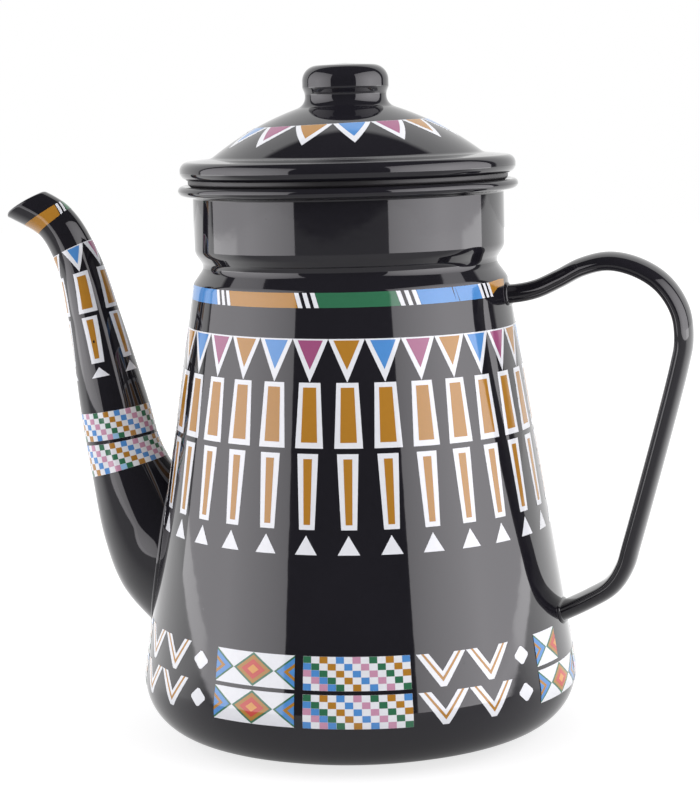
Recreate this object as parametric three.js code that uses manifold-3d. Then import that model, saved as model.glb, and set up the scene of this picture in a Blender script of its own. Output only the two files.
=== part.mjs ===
// Enamelled steel coffee pot, a plain-built dallah: a wide conical pot with a
// formed neck, a gooseneck spout, a strap handle and a lift-off domed lid.
// Millimetres, +Z up. The origin is the centre of the flat base, the handle
// points along +X and the spout along -X.
import * as THREE from 'three';
import { mergeVertices } from 'three/addons/utils/BufferGeometryUtils.js';
import Module from 'manifold-3d';

// Sheet, fits and facets
const potSheet = 1.2;
const lidSheet = 1.0;
const knobSheet = 0.8;
const seatGap = 0.3;
const skirtClearance = 0.9;
const roundSides = 40;
const knobSides = 20;
const fineArcRadius = 4;
const fineArcStep = THREE.MathUtils.degToRad(14);
const smallArcStep = THREE.MathUtils.degToRad(30);

// Pot wall and base
const footRadius = 77.2;
const shoulderHeight = 154.4;
const shoulderFillet = 3.6;
const shoulderStep = 0.7;
const grooveDepth = 3.2;
const grooveRise = 5.4;
const grooveFillet = 3;
const collarRadius = 52.1;
const collarFillet = 4.5;
const neckRise = 10.2;
const collarHeight = 22.3;
const baseBreakRadius = 52;
const baseBreakFillet = 60;
const heelRise = 8.6;
const heelFillet = 17.8;
const baseJointHeight = 27;
const baseLap = 5;

// Rolled rim of the mouth
const mouthFlare = 4.4;
const rimCurl = 1.65;
const rimCurlTurn = THREE.MathUtils.degToRad(225);

// Pierced strainer behind the spout
const strainerHeight = 57;
const strainerHoleRadius = 2.5;
const strainerPitch = 8;
const strainerRows = [2, 3, 4, 3, 2];
const strainerDrillLength = 20;
const strainerDrillSides = 12;

// Gooseneck spout. Rows: distance beyond the cone wall, height, half width.
// The low rows stand on the base, the high ones on the shoulder.
const spoutLowRows = [
  [-20, 44.5, 22.6], [-1.5, 61, 22.3], [7.2, 71.5, 18.6], [18.4, 91.7, 13.4], [26.2, 112.7, 11.8],
];
const spoutHighRows = [
  [36.2, -13.7, 9.1], [44.9, 7.2, 7.6], [54.8, 20.6, 7.1], [67.7, 27.4, 6.7], [76.3, 30.6, 6.4],
];
const spoutSides = 20;
const spoutStations = 24;
const spoutRootSlimness = 0.78;
const cutterSize = 400;
const mouthLip = [60.2, 31.2];
const mouthCutAngle = THREE.MathUtils.degToRad(30);

// Strap handle. Rows: distance of the inner face beyond the cone wall, height,
// half width. The low rows stand on the base, the high ones on the shoulder.
const handleHighRows = [
  [-8, -8.4, 5], [2, -8.3, 5], [10.3, -6.7, 5.6], [18.8, -3.2, 6.6], [26.9, 0.5, 7.6],
  [35.2, 2.1, 8.4], [43.3, 0, 8.8], [49.6, -4.8, 9], [53, -12.4, 9], [52.6, -20.9, 8.8], [50.1, -28.4, 8.6],
];
const handleLowRows = [[24.4, 66.3, 8], [20.8, 58.6, 8], [16.2, 53, 8], [8.5, 48.6, 8], [-4.4, 42.8, 8]];
const handleStations = 32;
const handleDepth = 6;
const handleSheet = 1.2;
const handleRoundSteps = 8;

// Lid
const lidInset = 0.75;
const lidEdgeRise = 1.9;
const lidEdgeDepth = 5.8;
const lidEdgeFillet = 1.8;
const lidFlangeWidth = 10.6;
const lidFlangeSlope = 0.11;
const lidFlangeFillet = 4;
const domeArcRadius = 100;
const domeArcOffset = 16;
const domeSteps = 7;
const lidHoleRadius = 5;
const skirtDepth = 13.5;
const skirtShoulder = 1.6;

// Knob
const knobWaistRadius = 13.5;
const knobFootFlare = 3.5;
const knobBulge = 0.4;
const knobHeadOverhang = 0.9;
const knobHeadFillet = 1.6;
const knobHeadHeight = 8.9;
const knobCrownRise = 0.9;
const knobCrownFillet = 5.2;
const knobStemRise = 4.6;
const knobFootRise = 0.4;
const knobFootFillet = 1.5;
const knobShoulder = 2.1;
const knobSpread = 1.4;

const blackEnamel = 0x211f24;
const paleEnamel = 0xe8e6e0;

// Sizes that follow from the ones above
const coneTopRadius = collarRadius + shoulderStep;
const grooveRadius = collarRadius - grooveDepth;
const coneSlope = (footRadius - coneTopRadius) / shoulderHeight;
const grooveHeight = shoulderHeight + grooveRise;
const neckHeight = shoulderHeight + neckRise;
const mouthTop = neckHeight + collarHeight;
const mouthRadius = collarRadius - potSheet;
const lidRadius = mouthRadius + mouthFlare + rimCurl - lidInset;
const lidFlangeRadius = lidRadius - lidFlangeWidth;
const lidBottom = mouthTop + lidEdgeRise;
const lidEdgeTop = lidBottom + lidEdgeDepth;
const lidFlangeTop = lidEdgeTop + lidFlangeWidth * lidFlangeSlope;
const knobFootRadius = knobWaistRadius + knobFootFlare;
const knobHeadRadius = knobWaistRadius + knobHeadOverhang;
const knobCrimpRadius = knobWaistRadius - knobShoulder;

const wasm = await Module();
wasm.setup();

// Radius of the straight cone wall at a height, also above the shoulder.
function coneRadiusAt(height) {
  return footRadius - coneSlope * height;
}

// Height of the dome's outside at a radius. The arc's centre lies across the axis.
function domeHeightAt(radius) {
  const reach = (r) => Math.sqrt(domeArcRadius ** 2 - (r + domeArcOffset) ** 2);
  return lidFlangeTop + reach(radius) - reach(lidFlangeRadius);
}

// Points on an arc, from one angle to another, around a centre in the profile.
function arc(centreR, centreZ, radius, from, to) {
  const step = radius > fineArcRadius ? fineArcStep : smallArcStep;
  const steps = Math.max(2, Math.ceil(Math.abs(to - from) / step - 0.01));
  const points = [];
  for (let i = 0; i <= steps; i += 1) {
    const angle = from + ((to - from) * i) / steps;
    points.push(new THREE.Vector2(
      centreR + radius * Math.cos(angle),
      centreZ + radius * Math.sin(angle),
    ));
  }
  return points;
}

// A profile of straight runs whose corners [radius, height, fillet] are rounded.
// Where two fillets meet on a run too short for both, each is smaller in proportion.
function roundedProfile(corners) {
  const at = corners.map(([r, z]) => new THREE.Vector2(r, z));
  const towards = (from, to) => at[to].clone().sub(at[from]).normalize();
  const halfAngles = corners.map(([, , fillet], i) => (
    fillet ? Math.acos(THREE.MathUtils.clamp(towards(i, i - 1).dot(towards(i, i + 1)), -1, 1)) / 2 : 0
  ));
  const reaches = corners.map(([, , fillet], i) => (fillet ? fillet / Math.tan(halfAngles[i]) : 0));
  const shares = at.slice(1).map((point, i) => (
    Math.min(1, point.distanceTo(at[i]) / (reaches[i] + reaches[i + 1] || 1))
  ));
  return corners.flatMap(([, , fillet], i) => {
    if (!fillet) return [at[i]];
    const half = halfAngles[i];
    const reach = reaches[i] * Math.min(shares[i - 1], shares[i]);
    const bisector = towards(i, i - 1).add(towards(i, i + 1)).normalize();
    const centre = at[i].clone().addScaledVector(bisector, reach / Math.cos(half));
    const start = at[i].clone().addScaledVector(towards(i, i - 1), reach).sub(centre);
    const end = at[i].clone().addScaledVector(towards(i, i + 1), reach).sub(centre);
    let turn = end.angle() - start.angle();
    if (turn > Math.PI) turn -= 2 * Math.PI;
    if (turn < -Math.PI) turn += 2 * Math.PI;
    return arc(centre.x, centre.y, reach * Math.tan(half), start.angle(), start.angle() + turn);
  });
}

// The same profile moved sideways by one thickness, to its left as it runs.
function offsetProfile(points, distance) {
  return points.map((point, index) => {
    const before = points[Math.max(index - 1, 0)];
    const after = points[Math.min(index + 1, points.length - 1)];
    const incoming = point.clone().sub(before).normalize();
    const outgoing = after.clone().sub(point).normalize();
    const along = incoming.clone().add(outgoing).normalize();
    const left = new THREE.Vector2(-along.y, along.x);
    const run = index === 0 ? outgoing : incoming;
    const stretch = Math.max(0.5, left.dot(new THREE.Vector2(-run.y, run.x)));
    return point.clone().addScaledVector(left, distance / stretch);
  });
}

// A sheet-metal profile: one side as drawn, and back along the other side.
function sheetProfile(points, thickness) {
  return [...points, ...offsetProfile(points, thickness).reverse()];
}

// Only positions, shared vertices and outward faces, ready for a solid.
function tidy(geometry) {
  geometry.deleteAttribute('normal');
  geometry.deleteAttribute('uv');
  const merged = mergeVertices(geometry, 1e-4);
  const position = merged.getAttribute('position');
  const kept = [];
  let volume = 0;
  const corner = [new THREE.Vector3(), new THREE.Vector3(), new THREE.Vector3()];
  for (let i = 0; i < merged.index.count; i += 3) {
    const face = [0, 1, 2].map((k) => merged.index.getX(i + k));
    if (new Set(face).size === 3) {
      face.forEach((vertex, k) => corner[k].fromBufferAttribute(position, vertex));
      volume += corner[0].dot(corner[1].clone().cross(corner[2])) / 6;
      kept.push(face);
    }
  }
  merged.setIndex(kept.flatMap((face) => (volume < 0 ? [face[0], face[2], face[1]] : face)));
  return merged;
}

// A closed profile turned round the pot's axis.
function turned(profile, sides) {
  const closed = [...profile];
  if (!(profile[0].x === 0 && profile[profile.length - 1].x === 0)) {
    closed.push(profile[0].clone());
  }
  const geometry = new THREE.LatheGeometry(closed, sides);
  geometry.rotateX(Math.PI / 2);
  return tidy(geometry);
}

// A closed section carried along stations, each a list of as many 3-D points.
function lofted(stations, section) {
  const count = section.length;
  const positions = stations.flat().flatMap((point) => [point.x, point.y, point.z]);
  const faces = [];
  for (let i = 0; i < stations.length - 1; i += 1) {
    for (let j = 0; j < count; j += 1) {
      const a = i * count + j;
      const b = i * count + ((j + 1) % count);
      faces.push([a, b, b + count], [a, b + count, a + count]);
    }
  }
  const last = (stations.length - 1) * count;
  THREE.ShapeUtils.triangulateShape(section, []).forEach(([a, b, c]) => {
    faces.push([a, c, b], [last + a, last + b, last + c]);
  });
  const geometry = new THREE.BufferGeometry();
  geometry.setAttribute('position', new THREE.Float32BufferAttribute(positions, 3));
  geometry.setIndex(faces.flat());
  return tidy(geometry);
}

function solid(geometry) {
  return new wasm.Manifold(new wasm.Mesh({
    numProp: 3,
    vertProperties: new Float32Array(geometry.getAttribute('position').array),
    triVerts: new Uint32Array(geometry.index.array),
  }));
}

function geometryOf(body) {
  const mesh = body.getMesh();
  const geometry = new THREE.BufferGeometry();
  geometry.setAttribute('position', new THREE.BufferAttribute(mesh.vertProperties, 3));
  geometry.setIndex(new THREE.BufferAttribute(mesh.triVerts, 1));
  return geometry;
}

function part(name, geometry, colour) {
  const material = new THREE.MeshStandardMaterial({ color: colour, roughness: 0.12, metalness: 0 });
  geometry.computeVertexNormals();
  const mesh = new THREE.Mesh(geometry, material);
  mesh.name = name;
  return mesh;
}

// The pot from the cone's foot to the collar, as the corners of its outside.
function wallCorners(foot) {
  return [
    foot,
    [coneTopRadius, shoulderHeight, shoulderFillet],
    [grooveRadius, grooveHeight, grooveFillet],
    [collarRadius, neckHeight, collarFillet],
  ];
}

// The nearly flat bottom and the round heel, up to where the cone wall starts.
function baseCorners() {
  return [
    [0, 0],
    [baseBreakRadius, 0, baseBreakFillet],
    [coneRadiusAt(heelRise), heelRise, heelFillet],
  ];
}

// Everything inside the pot's skin, grown by a gap: cuts what is welded on.
function potEnvelope(gap) {
  const corners = [...baseCorners(), ...wallCorners([0, 0]).slice(1)];
  const outside = roundedProfile([...corners, [collarRadius, mouthTop]]);
  const grown = outside.map((point) => new THREE.Vector2(point.x > 0 ? point.x + gap : 0, point.y));
  grown[0].y -= gap;
  grown.push(new THREE.Vector2(0, mouthTop));
  return solid(turned(grown, roundSides));
}

// Cone wall, shoulder, formed neck groove, collar and the rolled rim in one
// sheet, with the strainer pierced through it where the spout is welded on.
function buildPotWall() {
  const footHeight = baseJointHeight + 2 * seatGap;
  const wall = roundedProfile([
    ...wallCorners([coneRadiusAt(footHeight), footHeight]),
    [collarRadius, mouthTop - mouthFlare],
  ]);
  const flareR = mouthRadius + mouthFlare;
  const flareZ = mouthTop - mouthFlare;
  const flare = arc(flareR, flareZ, mouthFlare - potSheet, Math.PI, Math.PI / 2);
  const curlIn = arc(flareR, mouthTop - rimCurl, rimCurl - potSheet, Math.PI / 2, Math.PI / 2 - rimCurlTurn);
  const outside = [...wall.slice(0, -1), ...flare, ...curlIn.slice(1)];
  const curlOut = arc(flareR, mouthTop - rimCurl, rimCurl, Math.PI / 2 - rimCurlTurn, Math.PI / 2);
  const flareIn = arc(flareR, flareZ, mouthFlare, Math.PI / 2, Math.PI);
  const inside = offsetProfile(wall, potSheet).slice(0, -1).reverse();
  const profile = [...outside, ...curlOut, ...flareIn.slice(1), ...inside];
  return solid(turned(profile, roundSides)).subtract(strainerDrills());
}

function strainerDrills() {
  const rowRise = strainerPitch * Math.sin(Math.PI / 3);
  let drills = null;
  strainerRows.forEach((count, row) => {
    for (let i = 0; i < count; i += 1) {
      const drill = new THREE.CylinderGeometry(
        strainerHoleRadius,
        strainerHoleRadius,
        strainerDrillLength,
        strainerDrillSides,
      );
      drill.rotateZ(Math.PI / 2);
      const height = strainerHeight + (row - (strainerRows.length - 1) / 2) * rowRise;
      drill.translate(
        -coneRadiusAt(strainerHeight),
        (i - (count - 1) / 2) * strainerPitch,
        height,
      );
      const body = solid(tidy(drill));
      drills = drills ? drills.add(body) : body;
    }
  });
  return drills;
}

// Pressed base pan: a flat bottom, the round heel, and a joggled lip that
// slips inside the cone wall, where the two are seam welded.
function buildPotBase() {
  const inset = potSheet + seatGap;
  const lipFoot = baseJointHeight + seatGap / 2;
  const lipTop = baseJointHeight + baseLap;
  const outside = roundedProfile([
    ...baseCorners(),
    [coneRadiusAt(baseJointHeight - inset / 2), baseJointHeight - inset / 2],
    [coneRadiusAt(lipFoot) - inset, lipFoot],
    [coneRadiusAt(lipTop) - inset, lipTop],
  ]);
  const inside = offsetProfile(outside, potSheet).reverse();
  inside[inside.length - 1].set(0, potSheet);
  return turned([...outside, ...inside], roundSides);
}

// Points along a run of rows, evenly spaced in the curve's own parameter. Each
// comes with the unit direction across the run, on its outer side.
function stationsAlong(lowRows, highRows, count) {
  const onBase = lowRows.map(([out, up, half]) => [coneRadiusAt(up) + out, up, half]);
  const onShoulder = highRows.map(([out, up, half]) => {
    const height = shoulderHeight + up;
    return [coneRadiusAt(height) + out, height, half];
  });
  const rows = [...onBase, ...onShoulder].map((row) => new THREE.Vector3(...row));
  const curve = new THREE.CatmullRomCurve3(rows, false, 'centripetal');
  return curve.getPoints(count).map((point, index) => {
    const along = curve.getTangent(index / count);
    const length = Math.hypot(along.x, along.y);
    const across = new THREE.Vector2(along.y / length, -along.x / length);
    return { at: new THREE.Vector2(point.x, point.y), half: point.z, across };
  });
}

// A round section that narrows sideways towards the root, as a closed tube.
function spoutTube(sheet) {
  const section = [];
  for (let i = 0; i < spoutSides; i += 1) {
    const angle = (2 * Math.PI * (i + 0.5)) / spoutSides;
    section.push(new THREE.Vector2(Math.cos(angle), Math.sin(angle)));
  }
  const rootHalf = spoutLowRows[1][2];
  const tipHalf = spoutHighRows[0][2];
  const stations = stationsAlong(spoutLowRows, spoutHighRows, spoutStations);
  return lofted(stations.map(({ at, half, across }) => {
    const nearRoot = THREE.MathUtils.smoothstep(half, tipHalf, rootHalf);
    const sideways = half * (1 - (1 - spoutRootSlimness) * nearRoot) - sheet;
    return section.map(({ x, y }) => new THREE.Vector3(
      -(at.x + across.x * x * (half - sheet)),
      y * sideways,
      at.y + across.y * x * (half - sheet),
    ));
  }), section);
}

function block(size) {
  return new THREE.BoxGeometry(size, size, size).toNonIndexed();
}

// Gooseneck spout, pressed in two halves and welded along its centre line. The
// mouth is cut on a slant, so that its lower lip runs out into a pouring edge.
function buildSpout() {
  const lipHeight = shoulderHeight + mouthLip[1];
  const cutter = block(cutterSize);
  cutter.translate(0, 0, cutterSize / 2);
  cutter.rotateY(-mouthCutAngle);
  cutter.translate(-(coneRadiusAt(lipHeight) + mouthLip[0]), 0, lipHeight);
  const shell = solid(spoutTube(0))
    .subtract(solid(spoutTube(potSheet)))
    .subtract(solid(tidy(cutter)))
    .subtract(potEnvelope(seatGap));
  return [1, -1].map((side) => {
    const half = block(cutterSize);
    half.translate(0, side * (cutterSize / 2 + seatGap / 2), cutterSize / 2);
    return shell.intersect(solid(tidy(half)));
  });
}

// Handle sections stand on the inner face: x is across the strap, y outwards.
function handleArch(halfWidth, depth, from) {
  const points = [];
  for (let i = 0; i <= handleRoundSteps; i += 1) {
    const angle = (Math.PI * i) / handleRoundSteps;
    points.push(new THREE.Vector2(halfWidth * Math.cos(angle), from + (depth - from) * Math.sin(angle)));
  }
  return points;
}

function channelSection(halfWidth) {
  const inner = halfWidth - handleSheet;
  const outside = handleArch(halfWidth, handleDepth, handleSheet);
  const inside = handleArch(inner, handleDepth - handleSheet, handleSheet).reverse();
  const foot = (x) => new THREE.Vector2(x, 0);
  return [foot(halfWidth), ...outside, foot(-halfWidth), foot(-inner), ...inside, foot(inner)];
}

function stripSection(halfWidth) {
  const half = halfWidth - handleSheet - seatGap;
  return [[half, 0], [half, handleSheet], [-half, handleSheet], [-half, 0]]
    .map((corner) => new THREE.Vector2(...corner));
}

// A section of the handle carried from the upper root, round the arch and down
// the grip to the lower root, and trimmed to the pot's skin at both ends.
function handlePiece(sectionOf) {
  const lowRows = [...handleLowRows].reverse();
  const highRows = [...handleHighRows].reverse();
  const stations = stationsAlong(lowRows, highRows, handleStations);
  const bar = lofted(stations.map(({ at, half, across }) => (
    sectionOf(half).map(({ x, y }) => new THREE.Vector3(at.x + across.x * y, x, at.y + across.y * y))
  )), sectionOf(handleLowRows[0][2]));
  return solid(bar).subtract(potEnvelope(seatGap));
}

// Pressed lid: a hole for the knob, the dome, a nearly flat flange, and an edge
// turned down and hemmed inwards.
function buildLidShell() {
  const dome = [];
  for (let i = 0; i < domeSteps; i += 1) {
    const radius = lidHoleRadius + ((lidFlangeRadius - lidHoleRadius) * i) / domeSteps;
    dome.push([radius, domeHeightAt(radius)]);
  }
  const outside = roundedProfile([
    ...dome,
    [lidFlangeRadius, lidFlangeTop, lidFlangeFillet],
    [lidRadius, lidEdgeTop, lidEdgeFillet],
    [lidRadius, lidBottom, lidEdgeFillet],
    [skirtCollarRadius() + seatGap, lidBottom],
  ]);
  return turned(sheetProfile(outside, -lidSheet), roundSides);
}

// The point on the flared mouth, at 45 degrees, that the skirt's shoulder rests
// on, with the seat gap between them.
function skirtSeat() {
  const reach = (mouthFlare + seatGap) * Math.SQRT1_2;
  return new THREE.Vector2(mouthRadius + mouthFlare - reach, mouthTop - mouthFlare + reach);
}

function skirtCollarRadius() {
  return skirtSeat().x + skirtShoulder;
}

// Ring welded under the lid's flange. Its shoulder rests on the flared mouth
// and its tube hangs inside the neck and keeps the lid from sliding off.
function buildLidSkirt() {
  const tubeRadius = mouthRadius - skirtClearance;
  const seat = skirtSeat();
  const collarR = skirtCollarRadius();
  const underFlange = (radius) => lidEdgeTop + (lidRadius - radius) * lidFlangeSlope - lidSheet - seatGap;
  const weldInner = lidFlangeRadius + lidFlangeFillet / 2;
  const outside = [
    [weldInner, underFlange(weldInner)],
    [collarR, underFlange(collarR)],
    [collarR, seat.y + skirtShoulder],
    [tubeRadius, seat.y - (seat.x - tubeRadius)],
    [tubeRadius, mouthTop - skirtDepth],
  ].map((corner) => new THREE.Vector2(...corner));
  return turned(sheetProfile(outside, -lidSheet), roundSides);
}

// Knob stem: a foot that flares out over the dome, a slight bulge, and a neck
// that passes through the cap's turned-in edge and is spread over it.
function buildKnobStem() {
  const seatRise = seatGap + knobSheet;
  const waistFoot = domeHeightAt(knobWaistRadius) + seatRise + knobFootRise;
  const shoulder = knobShoulderHeight();
  const neckRadius = knobCrimpRadius - seatGap;
  const crimp = shoulder + 2 * seatGap + 2 * knobSheet;
  const outside = roundedProfile([
    [knobFootRadius, domeHeightAt(knobFootRadius) + seatRise],
    [knobWaistRadius, waistFoot, knobFootFillet],
    [knobWaistRadius + knobBulge, (waistFoot + knobFootFillet + shoulder) / 2],
    [knobWaistRadius, shoulder],
    [neckRadius, shoulder],
    [neckRadius, crimp],
    [neckRadius + knobSpread, crimp + knobSpread / 2],
  ]);
  return turned(sheetProfile(outside, knobSheet), knobSides);
}

function knobShoulderHeight() {
  return domeHeightAt(knobWaistRadius) + knobStemRise;
}

// Knob cap: a crowned head whose edge is turned in under itself.
function buildKnobCap() {
  const bottom = knobShoulderHeight() + seatGap;
  const top = bottom + knobHeadHeight;
  const outside = roundedProfile([
    [knobCrimpRadius, bottom],
    [knobHeadRadius, bottom, knobHeadFillet],
    [knobHeadRadius, top - knobCrownRise, knobCrownFillet],
    [0, top],
  ]);
  const inside = offsetProfile(outside, knobSheet).reverse();
  inside[0].set(0, top - knobSheet);
  return turned([...outside, ...inside], knobSides);
}

const [spoutLeft, spoutRight] = buildSpout();
const pot = new THREE.Group();
pot.add(
  part('pot_wall', geometryOf(buildPotWall()), blackEnamel),
  part('pot_base', buildPotBase(), blackEnamel),
  part('spout_left', geometryOf(spoutLeft), blackEnamel),
  part('spout_right', geometryOf(spoutRight), blackEnamel),
  part('handle_channel', geometryOf(handlePiece(channelSection)), blackEnamel),
  part('handle_strip', geometryOf(handlePiece(stripSection)), blackEnamel),
);
const lid = new THREE.Group();
lid.add(
  part('lid_shell', buildLidShell(), blackEnamel),
  part('lid_skirt', buildLidSkirt(), paleEnamel),
  part('knob_stem', buildKnobStem(), blackEnamel),
  part('knob_cap', buildKnobCap(), blackEnamel),
);
const coffeePot = new THREE.Group();
coffeePot.add(pot, lid);

export default coffeePot;
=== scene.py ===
# %% [markdown]
# # An enamelled steel dallah, finished piece by piece
# The coffee pot is pressed sheet steel, welded and then dipped in black glass enamel. Coloured
# transfers are laid on the black coat and fired in. The CAD frame holds the welded pieces at
# their size. This lesson gives each of them its smooth enamelled skin, the transfers and the light.
# %% Load the frame
import math
import bpy
from mathutils import Matrix, Vector


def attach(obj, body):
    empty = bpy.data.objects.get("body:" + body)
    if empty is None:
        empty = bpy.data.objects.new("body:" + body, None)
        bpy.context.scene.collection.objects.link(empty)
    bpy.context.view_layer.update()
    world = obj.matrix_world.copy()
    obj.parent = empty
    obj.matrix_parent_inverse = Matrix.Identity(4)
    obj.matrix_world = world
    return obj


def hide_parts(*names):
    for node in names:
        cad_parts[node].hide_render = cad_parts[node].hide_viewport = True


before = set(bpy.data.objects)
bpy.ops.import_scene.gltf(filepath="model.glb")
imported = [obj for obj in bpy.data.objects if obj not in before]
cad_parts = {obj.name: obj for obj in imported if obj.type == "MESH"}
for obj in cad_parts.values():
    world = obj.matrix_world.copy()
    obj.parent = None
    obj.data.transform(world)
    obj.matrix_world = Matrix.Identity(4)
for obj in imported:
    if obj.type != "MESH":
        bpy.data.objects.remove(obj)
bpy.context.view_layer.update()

MM = 0.001
print("pieces in the frame:", sorted(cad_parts))


def add_object(name, data):
    """A new object, linked to the scene."""
    item = bpy.data.objects.new(name, data)
    bpy.context.scene.collection.objects.link(item)
    return item


# %% [markdown]
# ## The camera
# A camera was fitted to the rings of the pattern: it stands 0.79 m from the pot's axis, a little
# above the lid, and the pot is turned 13 degrees in front of it. The rotation is built from the
# looking direction, with the small roll of the photograph kept.
# %% Camera
POT_TURN = math.radians(13)
CAMERA_DISTANCE = 0.79
CAMERA_HEIGHT = 0.21487
PITCH = 0.128167
YAW = -0.0015716
ROLL = -0.0265304
FOCAL_PIXELS = 2347.65
IMAGE_WIDTH = 700
SENSOR_WIDTH = 36.0
FAR_CLIP = 20.0


def place_camera():
    look = Vector((math.sin(YAW) * math.cos(PITCH), math.cos(YAW) * math.cos(PITCH), -math.sin(PITCH)))
    side = Vector((math.cos(YAW), -math.sin(YAW), 0))
    up = side.cross(look)
    right = math.cos(ROLL) * side + math.sin(ROLL) * up
    top = -math.sin(ROLL) * side + math.cos(ROLL) * up
    axes = Matrix((right, top, -look)).transposed().to_4x4()
    turn = Matrix.Rotation(POT_TURN, 4, "Z")
    data = bpy.data.cameras.new("camera")
    data.sensor_fit = "HORIZONTAL"
    data.sensor_width = SENSOR_WIDTH
    data.lens = SENSOR_WIDTH * FOCAL_PIXELS / IMAGE_WIDTH
    data.clip_end = FAR_CLIP
    camera = add_object("camera", data)
    stand = Matrix.Translation((0, -CAMERA_DISTANCE, CAMERA_HEIGHT))
    camera.matrix_world = turn @ stand @ axes
    bpy.context.scene.camera = camera
    print("camera at", [round(v, 3) for v in camera.matrix_world.translation])


place_camera()

# %% [markdown]
# ## Node helpers
# Materials and Geometry Nodes trees are both networks of nodes. One short helper adds a node with
# its settings and its links, so that each recipe below reads as a list of steps.
# %% Node helper


def add_node(tree, kind, inputs=None, **settings):
    """Add a node; an input is a plain value, or the output socket that feeds it."""
    node = tree.nodes.new(kind)
    for name, value in settings.items():
        setattr(node, name, value)
    for name, value in (inputs or {}).items():
        socket = node.inputs[name]
        if isinstance(value, bpy.types.NodeSocket):
            tree.links.new(value, socket)
        else:
            socket.default_value = value
    return node


def combine(tree, operation, first, second=0.0, third=0.0):
    """A Math node, as one output socket."""
    return add_node(tree, "ShaderNodeMath", {0: first, 1: second, 2: third}, operation=operation).outputs[0]


def combine_vectors(tree, operation, first, second):
    """A Vector Math node, as one output socket."""
    return add_node(tree, "ShaderNodeVectorMath", {0: first, 1: second}, operation=operation).outputs[0]


def scale_vector(tree, vector, factor):
    """A vector made longer or shorter, as one output socket."""
    node = add_node(tree, "ShaderNodeVectorMath", {0: vector, "Scale": factor}, operation="SCALE")
    return node.outputs[0]


def remap(tree, value, start, end, first, last, curve="LINEAR"):
    """A Map Range node that turns start to end into first to last, as one output socket."""
    return add_node(tree, "ShaderNodeMapRange", {
        "Value": value, "From Min": start, "From Max": end, "To Min": first, "To Max": last,
    }, interpolation_type=curve).outputs["Result"]


# %% [markdown]
# ## The floor, the backdrop and the lamps
# The pot was photographed on white between two tall soft boxes, with a black gap in front that
# gives the dark band down its middle. The same set is built here: a white floor whose own light
# only the camera and mirror-like reflections see, two large area lamps beside the pot, and a world
# that is white to the camera, white behind the pot and dark in front of it.
# %% Floor
FLOOR_SIZE = 6.0
FLOOR_NEAR = 0.16
FLOOR_FAR = 0.75
FLOOR_GLOW_NEAR = 0.74
FLOOR_GLOW_FAR = 1.0
FLOOR_PAINT = 0.4
MIRRORED_FRONT = 0.02
MIRRORED_BACK = 1.0
MIRROR_EDGE = (-0.12, 0.12)
CAMERA_AZIMUTH = POT_TURN - math.pi / 2


def towards_camera(tree, vector):
    """How far a place or a direction lies on the camera's side, as one output socket."""
    front = (math.cos(CAMERA_AZIMUTH), math.sin(CAMERA_AZIMUTH), 0)
    node = add_node(tree, "ShaderNodeVectorMath", {0: vector, 1: front}, operation="DOT_PRODUCT")
    return node.outputs["Value"]


def ray_kinds(tree):
    """Two sockets: 1 for rays from the camera, and 1 for mirrored rays or rays through glass."""
    path = add_node(tree, "ShaderNodeLightPath").outputs
    return path["Is Camera Ray"], combine(tree, "MAXIMUM", path["Is Glossy Ray"], path["Is Transmission Ray"])


def make_floor():
    half = FLOOR_SIZE / 2
    corners = [(-half, -half, 0), (half, -half, 0), (half, half, 0), (-half, half, 0)]
    mesh = bpy.data.meshes.new("floor")
    mesh.from_pydata(corners, [], [(0, 1, 2, 3)])
    floor = add_object("floor", mesh)
    material = bpy.data.materials.new("white_floor")
    material.use_nodes = True
    tree = material.node_tree
    tree.nodes.clear()
    place = add_node(tree, "ShaderNodeTexCoord").outputs["Object"]
    far = add_node(tree, "ShaderNodeVectorMath", {0: place}, operation="LENGTH").outputs["Value"]
    glow = remap(tree, far, FLOOR_NEAR, FLOOR_FAR, FLOOR_GLOW_NEAR, FLOOR_GLOW_FAR, "SMOOTHSTEP")
    ahead = towards_camera(tree, place)
    mirrored = remap(tree, ahead, *MIRROR_EDGE, MIRRORED_BACK, MIRRORED_FRONT, "SMOOTHSTEP")
    from_camera, in_mirror = ray_kinds(tree)
    direct = combine(tree, "MULTIPLY", from_camera, glow)
    strength = combine(tree, "MULTIPLY_ADD", in_mirror, mirrored, direct)
    grey = (FLOOR_PAINT, FLOOR_PAINT, FLOOR_PAINT, 1)
    paint = add_node(tree, "ShaderNodeBsdfDiffuse", {"Color": grey}).outputs[0]
    light = add_node(tree, "ShaderNodeEmission", {"Strength": strength}).outputs[0]
    both = add_node(tree, "ShaderNodeAddShader", {0: paint, 1: light}).outputs[0]
    add_node(tree, "ShaderNodeOutputMaterial", {"Surface": both})
    mesh.materials.append(material)
    print("floor made, side", FLOOR_SIZE, "m")


make_floor()

# %% World
WORLD_FRONT = 0.05
WORLD_BEHIND = 1.0
WORLD_FILL = 0.6
BEHIND_START = math.cos(math.radians(119.5))
BEHIND_END = math.cos(math.radians(122.5))


def make_world():
    world = bpy.data.worlds.new("studio")
    bpy.context.scene.world = world
    world.use_nodes = True
    tree = world.node_tree
    tree.nodes.clear()
    direction = add_node(tree, "ShaderNodeTexCoord").outputs["Generated"]
    ahead = towards_camera(tree, direction)
    mirror = remap(tree, ahead, BEHIND_START, BEHIND_END, WORLD_FRONT, WORLD_BEHIND)
    from_camera, in_mirror = ray_kinds(tree)
    unseen = add_node(tree, "ShaderNodeMix", {
        "Factor": in_mirror, "A": WORLD_FILL, "B": mirror,
    }).outputs["Result"]
    strength = add_node(tree, "ShaderNodeMix", {
        "Factor": from_camera, "A": unseen, "B": 1.0,
    }).outputs["Result"]
    white = (1, 1, 1, 1)
    light = add_node(tree, "ShaderNodeBackground", {"Color": white, "Strength": strength}).outputs[0]
    add_node(tree, "ShaderNodeOutputWorld", {"Surface": light})
    print("world: fill", WORLD_FILL)


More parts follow.
